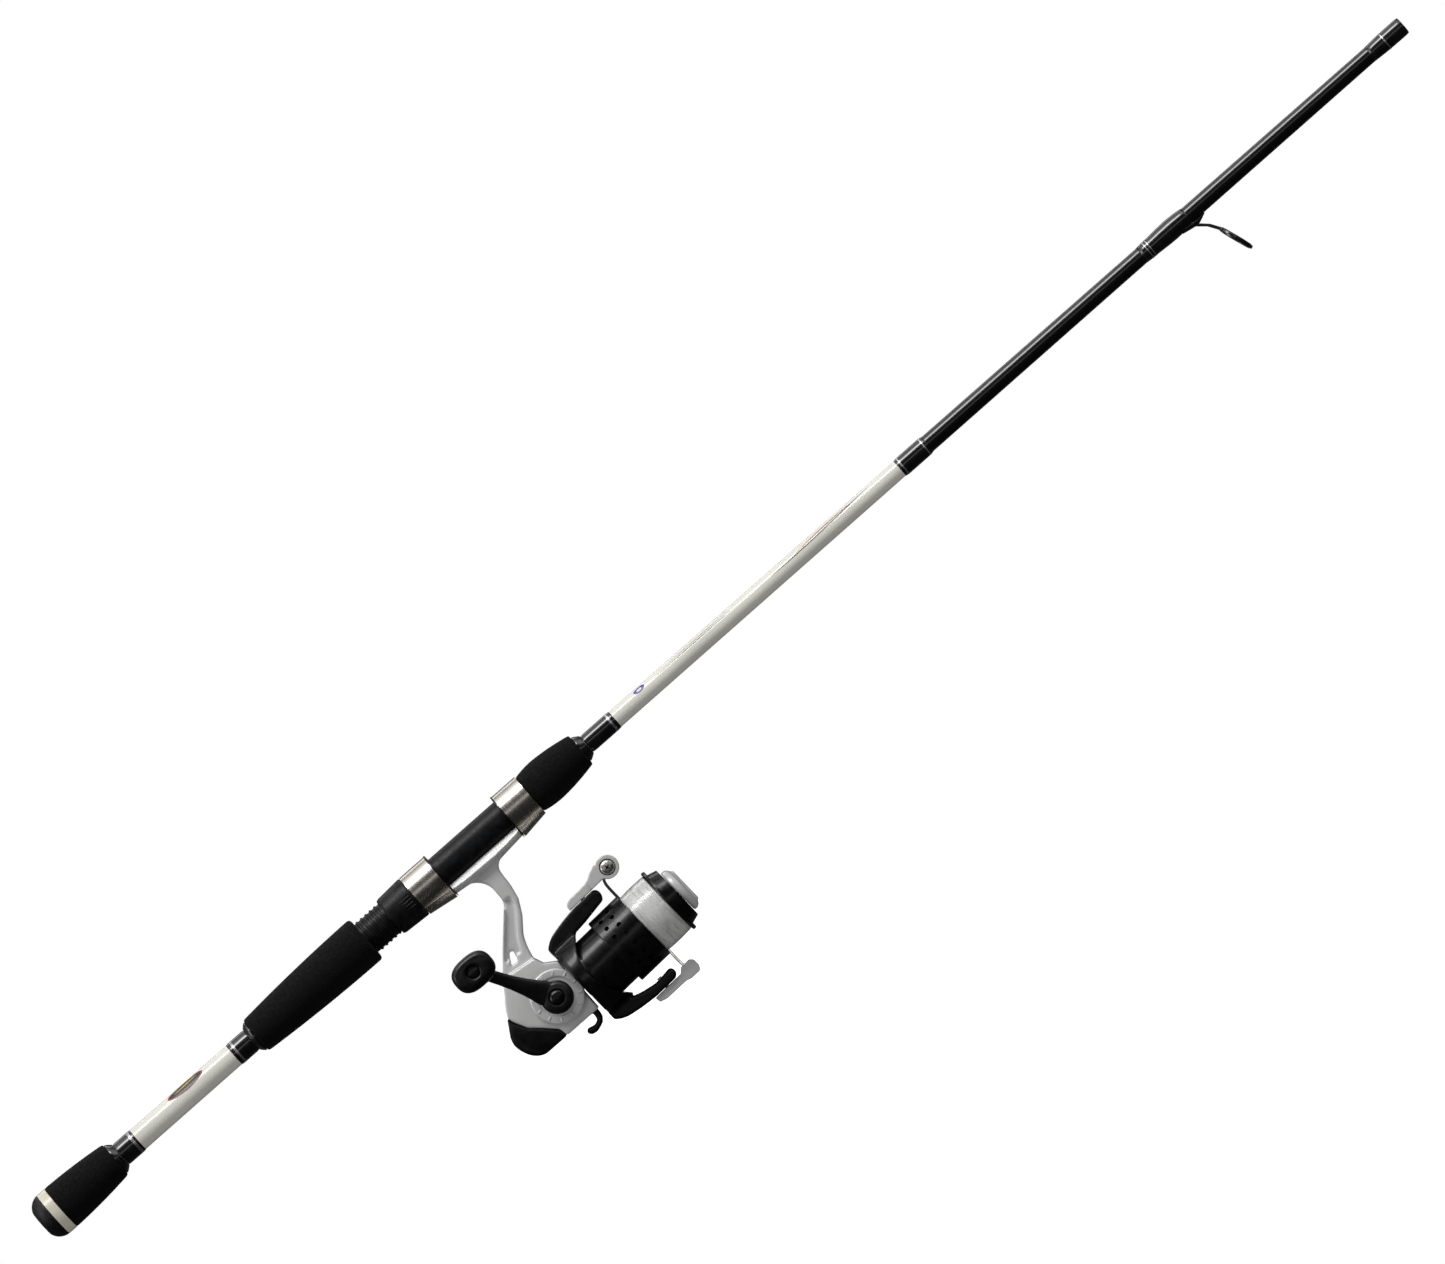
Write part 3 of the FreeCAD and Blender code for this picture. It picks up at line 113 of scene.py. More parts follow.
def sky_ramp(tree, stops):
    """Brightness round the rod's axis: 0.5 is the camera's side, 0.75 is overhead."""
    coordinates = tree.nodes.new("ShaderNodeTexCoord")
    split = tree.nodes.new("ShaderNodeSeparateXYZ")
    tree.links.new(coordinates.outputs["Generated"], split.inputs[0])
    ahead = tree.nodes.new("ShaderNodeMath")
    ahead.operation = "MULTIPLY"
    ahead.inputs[1].default_value = -1
    tree.links.new(split.outputs["Y"], ahead.inputs[0])
    angle = tree.nodes.new("ShaderNodeMath")
    angle.operation = "ARCTAN2"
    tree.links.new(split.outputs["Z"], angle.inputs[0])
    tree.links.new(ahead.outputs[0], angle.inputs[1])
    remap = tree.nodes.new("ShaderNodeMapRange")
    remap.inputs["From Min"].default_value = -math.pi
    remap.inputs["From Max"].default_value = math.pi
    tree.links.new(angle.outputs[0], remap.inputs["Value"])
    ramp = tree.nodes.new("ShaderNodeValToRGB")
    while len(ramp.color_ramp.elements) < len(stops):
        ramp.color_ramp.elements.new(0.5)
    for element, (place, level) in zip(ramp.color_ramp.elements, stops):
        element.position = place
        element.color = (level, level, level, 1)
    tree.links.new(remap.outputs[0], ramp.inputs[0])
    return ramp.outputs["Color"]


def make_light():
    """A white studio: an even sky, strip softboxes that only gloss mirrors, and three lamps."""
    scene = bpy.context.scene
    scene.view_settings.view_transform = "Standard"
    world = bpy.data.worlds.new("studio")
    scene.world = world
    world.use_nodes = True
    tree = world.node_tree
    tree.nodes.clear()
    output = tree.nodes.new("ShaderNodeOutputWorld")
    path = tree.nodes.new("ShaderNodeLightPath")
    skies = []
    seen_strength, even_strength, mirrored_strength = 1.0, 0.34, 1.5
    for strength in (seen_strength, even_strength, mirrored_strength):
        sky = tree.nodes.new("ShaderNodeBackground")
        sky.inputs["Color"].default_value = (1, 1, 1, 1)
        sky.inputs["Strength"].default_value = strength
        skies.append(sky)
    seen, even, mirrored = skies
    stops = [(0.0, 0.05), (0.2, 0.015), (0.46, 0.015), (0.507, 0.02), (0.512, 0.5), (0.535, 0.5),
             (0.545, 0.02), (0.64, 0.02), (0.66, 0.8), (0.72, 1.0), (0.79, 0.6), (0.83, 0.1),
             (1.0, 0.05)]
    tree.links.new(sky_ramp(tree, stops), mirrored.inputs["Color"])
    gloss = tree.nodes.new("ShaderNodeMixShader")
    tree.links.new(path.outputs["Is Glossy Ray"], gloss.inputs[0])
    tree.links.new(even.outputs[0], gloss.inputs[1])
    tree.links.new(mirrored.outputs[0], gloss.inputs[2])
    mix = tree.nodes.new("ShaderNodeMixShader")
    tree.links.new(path.outputs["Is Camera Ray"], mix.inputs[0])
    tree.links.new(gloss.outputs[0], mix.inputs[1])
    tree.links.new(seen.outputs[0], mix.inputs[2])
    tree.links.new(mix.outputs[0], output.inputs["Surface"])
    for name, place, aim, size, power in (
            ("key", (0.45, -0.85, 1.75), (0.45, 0, 0), (1.8, 0.55), 30),
            ("side", (-1.5, -0.5, 0.7), (0.3, 0, -0.05), (0.8, 0.8), 5),
            ("rim", (0.45, 1.2, 1.3), (0.45, 0, 0), (1.6, 0.4), 4)):
        data = bpy.data.lights.new(name, "AREA")
        data.shape = "RECTANGLE"
        data.size, data.size_y = size
        data.energy = power
        lamp = bpy.data.objects.new(name, data)
        bpy.context.scene.collection.objects.link(lamp)
        lamp.location = place
        lamp.rotation_mode = "QUATERNION"
        lamp.rotation_quaternion = (Vector(aim) - Vector(place)).to_track_quat("-Z", "Y")


def make_floor():
    """A pale glowing floor a little below the reel, which reflections and bounced light miss."""
    gap, half, glow = 4 * MM, 6.0, 0.85
    level = cad_low.z - gap
    mesh = bpy.data.meshes.new("floor")
    mesh.from_pydata([(-half, -half, level), (half, -half, level), (half, half, level),
                      (-half, half, level)], [], [(0, 1, 2, 3)])
    floor = bpy.data.objects.new("floor", mesh)
    bpy.context.scene.collection.objects.link(floor)
    floor.visible_diffuse = False
    floor.visible_glossy = False
    paint = bpy.data.materials.new("floor_paint")
    paint.use_nodes = True
    shader = paint.node_tree.nodes["Principled BSDF"]
    shader.inputs["Base Color"].default_value = (0.9, 0.9, 0.9, 1)
    shader.inputs["Roughness"].default_value = 0.9
    shader.inputs["Emission Color"].default_value = (1, 1, 1, 1)
    shader.inputs["Emission Strength"].default_value = glow
    mesh.materials.append(paint)


# ---------------------------------------------------------------- materials

class Paint:
    """A node material built in steps: base shader, mottled colour, varied roughness, bump."""

    def __init__(self, name, colour, roughness, metallic=0.0, coat=0.0, coat_roughness=0.05,
                 specular=0.5, sheen=0.0):
        self.material = bpy.data.materials.new(name)
        self.material.use_nodes = True
        self.tree = self.material.node_tree
        self.shader = self.tree.nodes["Principled BSDF"]
        self.place = self.tree.nodes.new("ShaderNodeTexCoord")
        self.colour = self.value_colour(colour)
        self.height = None
        self.set("Base Color", (*colour, 1))
        self.set("Roughness", roughness)
        self.set("Metallic", metallic)
        self.set("Coat Weight", coat)
        self.set("Coat Roughness", coat_roughness)
        self.set("Specular IOR Level", specular)
        self.set("Sheen Weight", sheen)

    def set(self, socket, value):
        self.shader.inputs[socket].default_value = value

    def node(self, kind):
        return self.tree.nodes.new(kind)

    def link(self, source, target):
        self.tree.links.new(source, target)

    def value_colour(self, colour):
        made = self.node("ShaderNodeRGB")
        made.outputs[0].default_value = (*colour, 1)
        return made.outputs[0]

    def coordinates(self, stretch=(1, 1, 1)):
        """The piece's own coordinates, scaled along each axis."""
        mapping = self.node("ShaderNodeMapping")
        mapping.inputs["Scale"].default_value = stretch
        self.link(self.place.outputs["Object"], mapping.inputs["Vector"])
        return mapping.outputs[0]

    def noise(self, scale, detail=3, stretch=(1, 1, 1)):
        made = self.node("ShaderNodeTexNoise")
        made.inputs["Scale"].default_value = scale
        made.inputs["Detail"].default_value = detail
        self.link(self.coordinates(stretch), made.inputs["Vector"])
        return made.outputs["Fac"]

    def ramp(self, factor, from_low, from_high, to_low=0, to_high=1):
        made = self.node("ShaderNodeMapRange")
        made.inputs["From Min"].default_value = from_low
        made.inputs["From Max"].default_value = from_high
        made.inputs["To Min"].default_value = to_low
        made.inputs["To Max"].default_value = to_high
        self.link(factor, made.inputs["Value"])
        return made.outputs[0]

    def mix_colour(self, factor, other):
        """Blends the colour so far towards another one, and makes that the base colour."""
        mix = self.node("ShaderNodeMix")
        mix.data_type = "RGBA"
        self.link(factor, mix.inputs["Factor"])
        self.link(self.colour, mix.inputs["A"])
        mix.inputs["B"].default_value = (*other, 1)
        self.colour = mix.outputs["Result"]
        self.link(self.colour, self.shader.inputs["Base Color"])
        return self

    def mottle(self, scale, other, low=0.4, high=0.6, stretch=(1, 1, 1), detail=3):
        """Patches of another colour where the noise runs from low to high."""
        factor = self.ramp(self.noise(scale, detail, stretch), low, high)
        return self.mix_colour(factor, other)

    def beyond(self, station, other):
        """The other colour past a station along X."""
        split = self.node("ShaderNodeSeparateXYZ")
        self.link(self.place.outputs["Object"], split.inputs[0])
        past = self.node("ShaderNodeMath")
        past.operation = "GREATER_THAN"
        past.inputs[1].default_value = station
        self.link(split.outputs["X"], past.inputs[0])
        return self.mix_colour(past.outputs[0], other)

    def vary_roughness(self, scale, low, high, stretch=(1, 1, 1)):
        factor = self.ramp(self.noise(scale, stretch=stretch), 0.3, 0.7, low, high)
        self.link(factor, self.shader.inputs["Roughness"])
        return self

    def bump(self, factor, strength, depth):
        made = self.node("ShaderNodeBump")
        made.inputs["Strength"].default_value = strength
        made.inputs["Distance"].default_value = depth
        self.link(factor, made.inputs["Height"])
        if self.height is not None:
            self.link(self.height, made.inputs["Normal"])
        self.height = made.outputs["Normal"]
        self.link(self.height, self.shader.inputs["Normal"])
        return self

    def grain(self, scale, strength, depth, stretch=(1, 1, 1), detail=3):
        return self.bump(self.noise(scale, detail, stretch), strength, depth)

    def bands(self, per_metre):
        """Even stripes square to the rod, for wound thread."""
        radians_per_unit = 20
        made = self.node("ShaderNodeTexWave")
        made.wave_type = "BANDS"
        made.bands_direction = "X"
        made.inputs["Scale"].default_value = per_metre * 2 * math.pi / radians_per_unit
        self.link(self.coordinates(), made.inputs["Vector"])
        return made.outputs["Fac"]


def make_paints():
    """One procedural material for each material slot of the record, and for each paint mark."""
    made = {}
    foam = Paint("eva_foam", (0.0028, 0.0027, 0.0027), 0.9, specular=0.1, sheen=0.02)
    foam.mottle(1700, (0.012, 0.0115, 0.011), 0.5, 0.78, detail=4)
    foam.mottle(90, (0.003, 0.003, 0.003), 0.4, 0.7).vary_roughness(700, 0.7, 0.95)
    foam.grain(2100, 0.5, 0.0004, detail=5)
    made["eva_foam"] = foam
    rubber = Paint("butt_rubber", (0.004, 0.004, 0.0043), 0.5, specular=0.3)
    rubber.mottle(500, (0.008, 0.008, 0.0085)).vary_roughness(300, 0.42, 0.6)
    rubber.grain(1200, 0.15, 0.0001)
    made["butt_rubber"] = rubber
    cream = Paint("cream_plastic", (0.74, 0.71, 0.58), 0.35, coat=0.4, coat_roughness=0.15)
    cream.mottle(60, (0.66, 0.62, 0.50)).vary_roughness(400, 0.3, 0.45).grain(900, 0.05, 0.0001)
    made["cream_plastic"] = cream
    blank = Paint("blank_paint", (0.80, 0.79, 0.72), 0.26, coat=0.5, coat_roughness=0.06)
    blank.mottle(25, (0.76, 0.75, 0.68))
    blank.beyond(WHITE_PAINT_END * MM, (0.0025, 0.0025, 0.0027)).grain(300, 0.03, 0.0001)
    made["blank_paint"] = blank
    epoxy = Paint("black_epoxy", (0.002, 0.002, 0.0022), 0.25, coat=0.8, coat_roughness=0.02)
    epoxy.mottle(250, (0.006, 0.006, 0.007)).bump(epoxy.bands(2100), 0.05, 0.00003)
    epoxy.grain(120, 0.15, 0.0003, detail=1)
    made["black_epoxy"] = epoxy
    trim = Paint("silver_thread", (0.72, 0.72, 0.73), 0.3, metallic=0.9, coat=0.8)
    trim.mottle(900, (0.5, 0.5, 0.52), stretch=(4, 1, 1)).grain(1500, 0.2, 0.0001)
    made["silver_thread"] = trim
    nylon = Paint("seat_nylon", (0.0032, 0.0033, 0.0042), 0.42, specular=0.2)
    nylon.mottle(300, (0.007, 0.0073, 0.0085)).vary_roughness(500, 0.34, 0.5)
    nylon.grain(1500, 0.12, 0.0001)
    made["seat_nylon"] = nylon
    steel = Paint("stainless", (0.62, 0.585, 0.53), 0.28, metallic=1.0)
    steel.mottle(30, (0.55, 0.52, 0.47), 0.3, 0.7, stretch=(160, 1, 1))
    steel.vary_roughness(30, 0.22, 0.33, stretch=(200, 1, 1))
    steel.grain(30, 0.03, 0.00005, stretch=(220, 1, 1))
    made["stainless"] = steel
    bright = Paint("bright_steel", (0.76, 0.74, 0.71), 0.26, metallic=1.0)
    bright.mottle(400, (0.66, 0.64, 0.61)).vary_roughness(600, 0.22, 0.38)
    made["bright_steel"] = bright
    guide = Paint("guide_black", (0.006, 0.006, 0.007), 0.28, metallic=0.2, coat=0.5)
    guide.mottle(700, (0.011, 0.011, 0.013)).vary_roughness(900, 0.2, 0.36)
    made["guide_black"] = guide
    ceramic = Paint("ceramic", (0.018, 0.0185, 0.02), 0.12, specular=0.7, coat=0.6)
    ceramic.mottle(500, (0.03, 0.03, 0.033)).vary_roughness(500, 0.08, 0.18)
    made["ceramic"] = ceramic
    pearl = Paint("pearl_silver", (0.60, 0.60, 0.595), 0.36, metallic=0.12, coat=0.6,
                  coat_roughness=0.1)
    pearl.mottle(7000, (0.74, 0.74, 0.735), 0.5, 0.7, detail=1)
    pearl.mottle(40, (0.55, 0.55, 0.55), 0.45, 0.75).vary_roughness(800, 0.3, 0.44)
    pearl.grain(230, 0.04, 0.0002, detail=1)
    made["pearl_silver"] = pearl
    black = Paint("black_plastic", (0.0016, 0.0016, 0.0018), 0.28, specular=0.25, coat=0.18,
                  coat_roughness=0.08)
    black.mottle(200, (0.004, 0.004, 0.0045)).vary_roughness(350, 0.24, 0.36)
    black.grain(280, 0.05, 0.0002, detail=1)
    made["black_plastic"] = black
    crank = Paint("crank_metal", (0.003, 0.003, 0.0033), 0.38, specular=0.4, coat=0.2,
                  coat_roughness=0.2)
    crank.mottle(400, (0.006, 0.006, 0.0065)).vary_roughness(500, 0.34, 0.48)
    crank.grain(900, 0.08, 0.0001)
    made["crank_metal"] = crank
    knob = Paint("knob_rubber", (0.0018, 0.0018, 0.002), 0.36, specular=0.25, coat=0.14,
                 coat_roughness=0.15)
    knob.mottle(350, (0.0055, 0.0055, 0.006)).vary_roughness(400, 0.3, 0.44)
    knob.grain(700, 0.06, 0.0001)
    made["knob_rubber"] = knob
    zinc = Paint("gear_zinc", (0.50, 0.50, 0.52), 0.42, metallic=1.0)
    zinc.mottle(500, (0.4, 0.4, 0.42)).grain(1200, 0.2, 0.0001)
    made["gear_zinc"] = zinc
    brass = Paint("pinion_brass", (0.72, 0.53, 0.22), 0.25, metallic=1.0)
    brass.mottle(600, (0.6, 0.43, 0.17)).vary_roughness(500, 0.18, 0.34)
    made["pinion_brass"] = brass
    shaft = Paint("shaft_steel", (0.6, 0.6, 0.61), 0.24, metallic=1.0)
    shaft.mottle(400, (0.5, 0.5, 0.51)).vary_roughness(500, 0.16, 0.32)
    made["shaft_steel"] = shaft
    line = Paint("nylon_line", (0.62, 0.62, 0.605), 0.2, specular=0.7, coat=0.7)
    line.mottle(900, (0.82, 0.82, 0.81), 0.4, 0.65, stretch=(6, 1, 1))
    line.mottle(110, (0.42, 0.42, 0.405), 0.5, 0.8, stretch=(6, 1, 1))
    made["nylon_line"] = line
    felt = Paint("drag_felt", (0.36, 0.32, 0.27), 0.95, sheen=0.3)
    felt.mottle(1500, (0.24, 0.21, 0.17)).grain(1800, 0.6, 0.0003)
    made["drag_felt"] = felt
    for name, colour, worn in (("mark_red", (0.42, 0.035, 0.03), (0.34, 0.03, 0.028)),
                               ("mark_black", (0.012, 0.012, 0.014), (0.02, 0.02, 0.023)),
                               ("mark_gold", (0.55, 0.36, 0.06), (0.46, 0.29, 0.05)),
                               ("mark_blue", (0.05, 0.05, 0.30), (0.04, 0.04, 0.22)),
                               ("mark_white", (0.78, 0.77, 0.72), (0.70, 0.69, 0.64)),
                               ("mark_grey", (0.12, 0.12, 0.13), (0.18, 0.18, 0.19))):
        mark = Paint(name, colour, 0.4, coat=0.2, coat_roughness=0.1)
        mark.mottle(600, worn)
        made[name] = mark
    return {slot: paint.material for slot, paint in made.items()}


# ---------------------------------------------------------------- building pieces

def dress(piece, material):
    """Gives a piece this material and no other."""
    piece.data.materials.clear()
    piece.data.materials.append(material)


def add_piece(name, mesh, body, slot, stands_for=()):
    """Puts a mesh in the scene as a piece of a body, smooth-shaded, with its slot's material.

    Paint marks have materials of their own, but count as the blank's paint.
    """
    mesh.shade_smooth()
    mesh.name = name
    piece = bpy.data.objects.new(name, mesh)
    bpy.context.scene.collection.objects.link(piece)
    dress(piece, paints[slot])
    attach(piece, body)
    if stands_for:
        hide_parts(*stands_for)


def mesh_from(name, points, faces):
    """A mesh made of points and faces."""
    mesh = bpy.data.meshes.new(name)
    mesh.from_pydata([tuple(point) for point in points], [], faces)
    mesh.validate()
    return mesh


def recalculate(mesh):
    """Turns every face of a mesh outwards."""
    shape = bmesh.new()
    shape.from_mesh(mesh)
    bmesh.ops.recalc_face_normals(shape, faces=shape.faces)
    shape.to_mesh(mesh)
    shape.free()


def placed(data, place):
    """Points and faces moved into a frame."""
    points, faces = data
    return [place @ point for point in points], faces


def softened(outline, cut):
    """A closed outline with each corner rounded off by up to the cut."""
    steps, most_of_side = 4, 0.45
    rounded = []
    for index, corner in enumerate(outline):
        corner = Vector(corner)
        before, after = Vector(outline[index - 1]), Vector(outline[(index + 1) % len(outline)])
        ends = []
        for other in (before, after):
            reach = other - corner
            ends.append(corner + reach.normalized() * min(cut, reach.length * most_of_side))
        for step in range(steps + 1):
            share = step / steps
            first, last = ends[0].lerp(corner, share), corner.lerp(ends[1], share)
            rounded.append(first.lerp(last, share))
    return rounded


def lathe_data(outlines, place, segments):
    """Points and faces of closed (along, radius) outlines in mm, turned round a frame's X axis."""
    points, faces = [], []
    for outline in outlines:
        start, count = len(points), len(outline)
        for turn in range(segments):
            angle = 2 * math.pi * turn / segments
            across, upward = math.cos(angle) * MM, math.sin(angle) * MM
            points += [place @ Vector((x * MM, r * across, r * upward)) for x, r in outline]
        for turn in range(segments):
            here, there = start + turn * count, start + (turn + 1) % segments * count
            for index in range(count):
                following = (index + 1) % count
                faces.append((here + index, there + index, there + following, here + following))
    return points, faces


def lathe(name, outlines, body, slot, stands_for=(), place=Matrix(), segments=128):
    """A turned piece. Without a frame its outlines run along the rod."""
    mesh = mesh_from(name, *lathe_data(outlines, place, segments))
    recalculate(mesh)
    add_piece(name, mesh, body, slot, stands_for)


def tube_data(points, radius, sides):
    """A tube's points and faces along a smooth row of points."""
    rings, faces = [], []
    side = Vector((0, 0, 1))
    for index, point in enumerate(points):
        ahead = points[min(index + 1, len(points) - 1)] - points[max(index - 1, 0)]
        ahead.normalize()
        side = (side - ahead * side.dot(ahead)).normalized()
        other = ahead.cross(side)
        for turn in range(sides):
            angle = 2 * math.pi * turn / sides
            rings.append(point + (side * math.cos(angle) + other * math.sin(angle)) * radius)
    for index in range(len(points) - 1):
        for turn in range(sides):
            here, there = index * sides + turn, index * sides + (turn + 1) % sides
            faces.append((here, there, there + sides, here + sides))
    faces.append(tuple(range(sides)))
    faces.append(tuple(len(rings) - 1 - turn for turn in range(sides)))
    return rings, faces


def loft_data(sections, count=48):
    """A closed skin over rounded sections: (centre, half axis, half axis, squareness)."""
    rings, faces = [], []
    for centre, wide, tall, power in sections:
        for turn in range(count):
            angle = 2 * math.pi * turn / count
            cosine, sine = math.cos(angle), math.sin(angle)
            rings.append(centre + wide * math.copysign(abs(cosine) ** (2 / power), cosine)
                         + tall * math.copysign(abs(sine) ** (2 / power), sine))
    for index in range(len(sections) - 1):
        for turn in range(count):
            here, there = index * count + turn, index * count + (turn + 1) % count
            faces.append((here, there, there + count, here + count))
    faces.append(tuple(range(count - 1, -1, -1)))
    faces.append(tuple(len(rings) - count + turn for turn in range(count)))
    return rings, faces


def joined(name, *parts):
    """One mesh from several lots of points and faces."""
    points, faces = [], []
    for some_points, some_faces in parts:
        shift = len(points)
        points += some_points
        faces += [tuple(index + shift for index in face) for face in some_faces]
    mesh = mesh_from(name, points, faces)
    recalculate(mesh)
    return mesh


def cast(mesh, voxel, rounds):
    """The mesh as a casting: one even skin with its edges rounded off."""
    thing = bpy.data.objects.new("casting", mesh)
    bpy.context.scene.collection.objects.link(thing)
    remesh = thing.modifiers.new("skin", "REMESH")
    remesh.mode = "VOXEL"
    remesh.voxel_size = voxel * MM
    smooth = thing.modifiers.new("soften", "SMOOTH")
    smooth.factor = 0.5
    smooth.iterations = rounds
    graph = bpy.context.evaluated_depsgraph_get()
    made = bpy.data.meshes.new_from_object(thing.evaluated_get(graph))
    bpy.data.objects.remove(thing)
    return made


def crowned(mesh):
    """Lowers a case's outer skin away from the crank's ring, so that its sides are domed."""
    fall, ring, spread = 1.9, 14.6, 15.0
    level, fade = 10.6, 2.0
    for vertex in mesh.vertices:
        side = abs(vertex.co.y) / MM
        away = math.hypot(vertex.co.x - CRANK_ORIGIN.x, vertex.co.z - CRANK_ORIGIN.z) / MM
        share = min(1.0, max(0.0, (away - ring) / spread))
        depth = min(1.0, max(0.0, (side - level) / fade))
        vertex.co.y -= math.copysign(fall * share * share * depth * MM, vertex.co.y)


def melted(mesh, centre, reach, rounds):
    """Rounds off a corner of a casting: the skin around it is relaxed in a shrinking reach."""
    shrink = 0.6
    skin = bmesh.new()
    skin.from_mesh(mesh)
    for step in range(rounds):
        radius = reach * (1 - shrink * step / rounds) * MM
        near = [vert for vert in skin.verts
                if math.hypot(vert.co.x - centre[0], vert.co.z - centre[1]) < radius]
        bmesh.ops.smooth_vert(skin, verts=near, factor=0.5, use_axis_x=True, use_axis_z=True)
    skin.to_mesh(mesh)
    skin.free()


def casting_of(node, name, voxel, rounds, crown=False, melt=()):
    """A casting with soft edges that stands for a CAD node. Melt: (corner, reach, rounds)."""
    mesh = cast(nodes[node].data.copy(), voxel, rounds)
    for centre, reach, repeats in melt:
        melted(mesh, centre, reach, repeats)
    if crown:
        crowned(mesh)
    add_piece(name, mesh, body_of_node[node], slot_of_node[node], (node,))


# ---------------------------------------------------------------- the rod

def blank_radius(x):
    """The blank's outer radius at a station along the rod."""
    for start, first, end, last in BLANK_TAPERS:
        if x <= end:
            return first + (last - first) * (x - start) / (end - start)
    return last


def make_rod():
    """The blank with its socket, the foam grips, the butt cap, and every wrap and trim on it."""
    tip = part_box("blank")[1].x / MM
    steps = 240
    skin = []
    for step in range(steps):
        x = BLANK_START + (tip - BLANK_START) * step / steps
        skin.append((x, blank_radius(x)))
    lip = [(tip - 0.3, 4.4), (tip, 4.15)]
    socket = [(tip, SOCKET_RADIUS), (tip - SOCKET_DEPTH, SOCKET_RADIUS)]
    core = [(tip - SOCKET_DEPTH, 0.4), (BLANK_START, 0.4)]
    lathe("painted_blank", [skin + lip + socket + core], "rod", "blank_paint", ("blank",))
    for node in ("rear_grip", "mid_grip", "fore_grip"):
        casting_of(node, "foam_" + node, 0.5, 10)
    casting_of("butt_cap", "moulded_butt_cap", 0.45, 8)
    grips = [wrap_outline(low, high, 0.3)
             for low, high in ((53.7, 65.4), (130.8, 142.6), (371.0, 390.4))]
    lathe("grip_thread_wraps", grips, "rod", "black_epoxy", ("grip_wraps",))
    seam = wrap_outline(584.1, 603.0, 0.45)
    guide = [(749.1, 4.3), (749.1, blank_radius(749) + 0.1), (753, blank_radius(753) + 0.4),
             (757, blank_radius(757) + 0.5), (763, blank_radius(763) + 0.9),
             (769, blank_radius(769) + 1.1), (775, blank_radius(775) + 0.8),
             (778.6, blank_radius(778) + 0.4), (779.8, blank_radius(779) + 0.1), (779.8, 4.3)]
    ferrule = [(904.5, 4.2), (904.5, 4.47), (908, 4.7), (913, 4.95), (920, 5.05), (925, 5.05),
               (926.7, 4.85), (926.95, 4.6), (926.95, 4.2)]
    lathe("blank_thread_wraps", [seam, guide, ferrule], "rod", "black_epoxy", ("blank_wraps",))
    checks = [softened([(50.15, 6.1), (50.15, 9.2), (51.2, 8.9), (53.65, 6.9), (53.65, 6.1)], 0.5),
              softened([(142.65, 6.0), (142.65, 6.9), (144.6, 8.9), (145.55, 9.2), (145.55, 6.0)],
                       0.5),
              softened([(366.95, 4.9), (366.95, 7.9), (368, 7.6), (370.95, 5.7), (370.95, 4.9)],
                       0.5)]
    lathe("grip_winding_checks", checks, "rod", "black_epoxy", ("winding_checks",))
    trims = []
    for low, wide, lift in ((62.6, 1.4, 0.32), (132.8, 1.2, 0.32), (387.2, 1.2, 0.32),
                            (585.7, 0.8, 0.47), (600.6, 0.8, 0.47), (752.7, 0.6, 0.5),
                            (754.5, 0.6, 0.5), (914.1, 0.7, 0.62)):
        trims.append(trim_outline(low, wide, blank_radius(low) + lift))
    lathe("metallic_trim_threads", trims, "rod", "silver_thread", ("trim_threads",))


def wrap_outline(low, high, swell):
    """A thread wrap under a coat that swells a little and rounds over at its ends."""
    sunk, thread, shoulder = 0.2, 0.05, 0.14
    outline = [(low, blank_radius(low) - sunk)]
    for share in (0, 0.03, 0.08, 0.16, 0.3, 0.5, 0.7, 0.84, 0.92, 0.97, 1):
        x = low + (high - low) * share
        edge = min(share, 1 - share)
        outline.append((x, blank_radius(x) + thread + swell * min(1, edge / shoulder) ** 0.5))
    outline.append((high, blank_radius(high) - sunk))
    return outline


def trim_outline(low, wide, radius):
    """Turns of metallic thread side by side."""
    thread, bulge, sunk = 0.28, 0.1, 0.2
    turns = max(2, round(wide / thread))
    outline = [(low, radius - sunk)]
    for turn in range(turns):
        for share in (0.05, 0.3, 0.7, 0.95):
            lift = bulge * math.sin(math.pi * share)
            outline.append((low + wide * (turn + share) / turns, radius + lift))
    outline.append((low + wide, radius - sunk))
    return outline


def ribbon(name, rows, slot):
    """A thin painted mark on the blank: rows of (x, lower angle, upper angle) in mm, degrees."""
    points, faces = [], []
    steps, paint_thickness = 10, 0.03
    for x, low, high in rows:
        radius = blank_radius(x) + paint_thickness
        for step in range(steps + 1):
            angle = math.radians(low + (high - low) * step / steps)
            points.append(Vector((x, -radius * math.cos(angle), radius * math.sin(angle))) * MM)
    for row in range(len(rows) - 1):
        for step in range(steps):
            here = row * (steps + 1) + step
            faces.append((here, here + steps + 1, here + steps + 2, here + 1))
    add_piece(name, mesh_from(name, points, faces), "rod", slot)


def oval(start, end, middle, half):
    """A ribbon's rows for an oval from start to end, so many degrees to either side."""
    rows, steps = [], 32
    for step in range(steps + 1):
        share = -1 + 2 * step / steps
        spread = half * math.sqrt(max(0, 1 - share * share))
        rows.append(((start + end) / 2 + (end - start) / 2 * share, middle - spread,
                     middle + spread))
    return rows


def sweep(start, end, angle_from, angle_to, widest, bow=0.0):
    """A ribbon's rows for a stroke that tapers to both ends and may bow."""
    rows, steps = [], 40
    for step in range(steps + 1):
        share = step / steps
        middle = angle_from + (angle_to - angle_from) * share + bow * math.sin(math.pi * share)
        half = max(0.15, widest * math.sin(math.pi * share) ** 0.7)
        rows.append((start + (end - start) * share, middle - half, middle + half))
    return rows


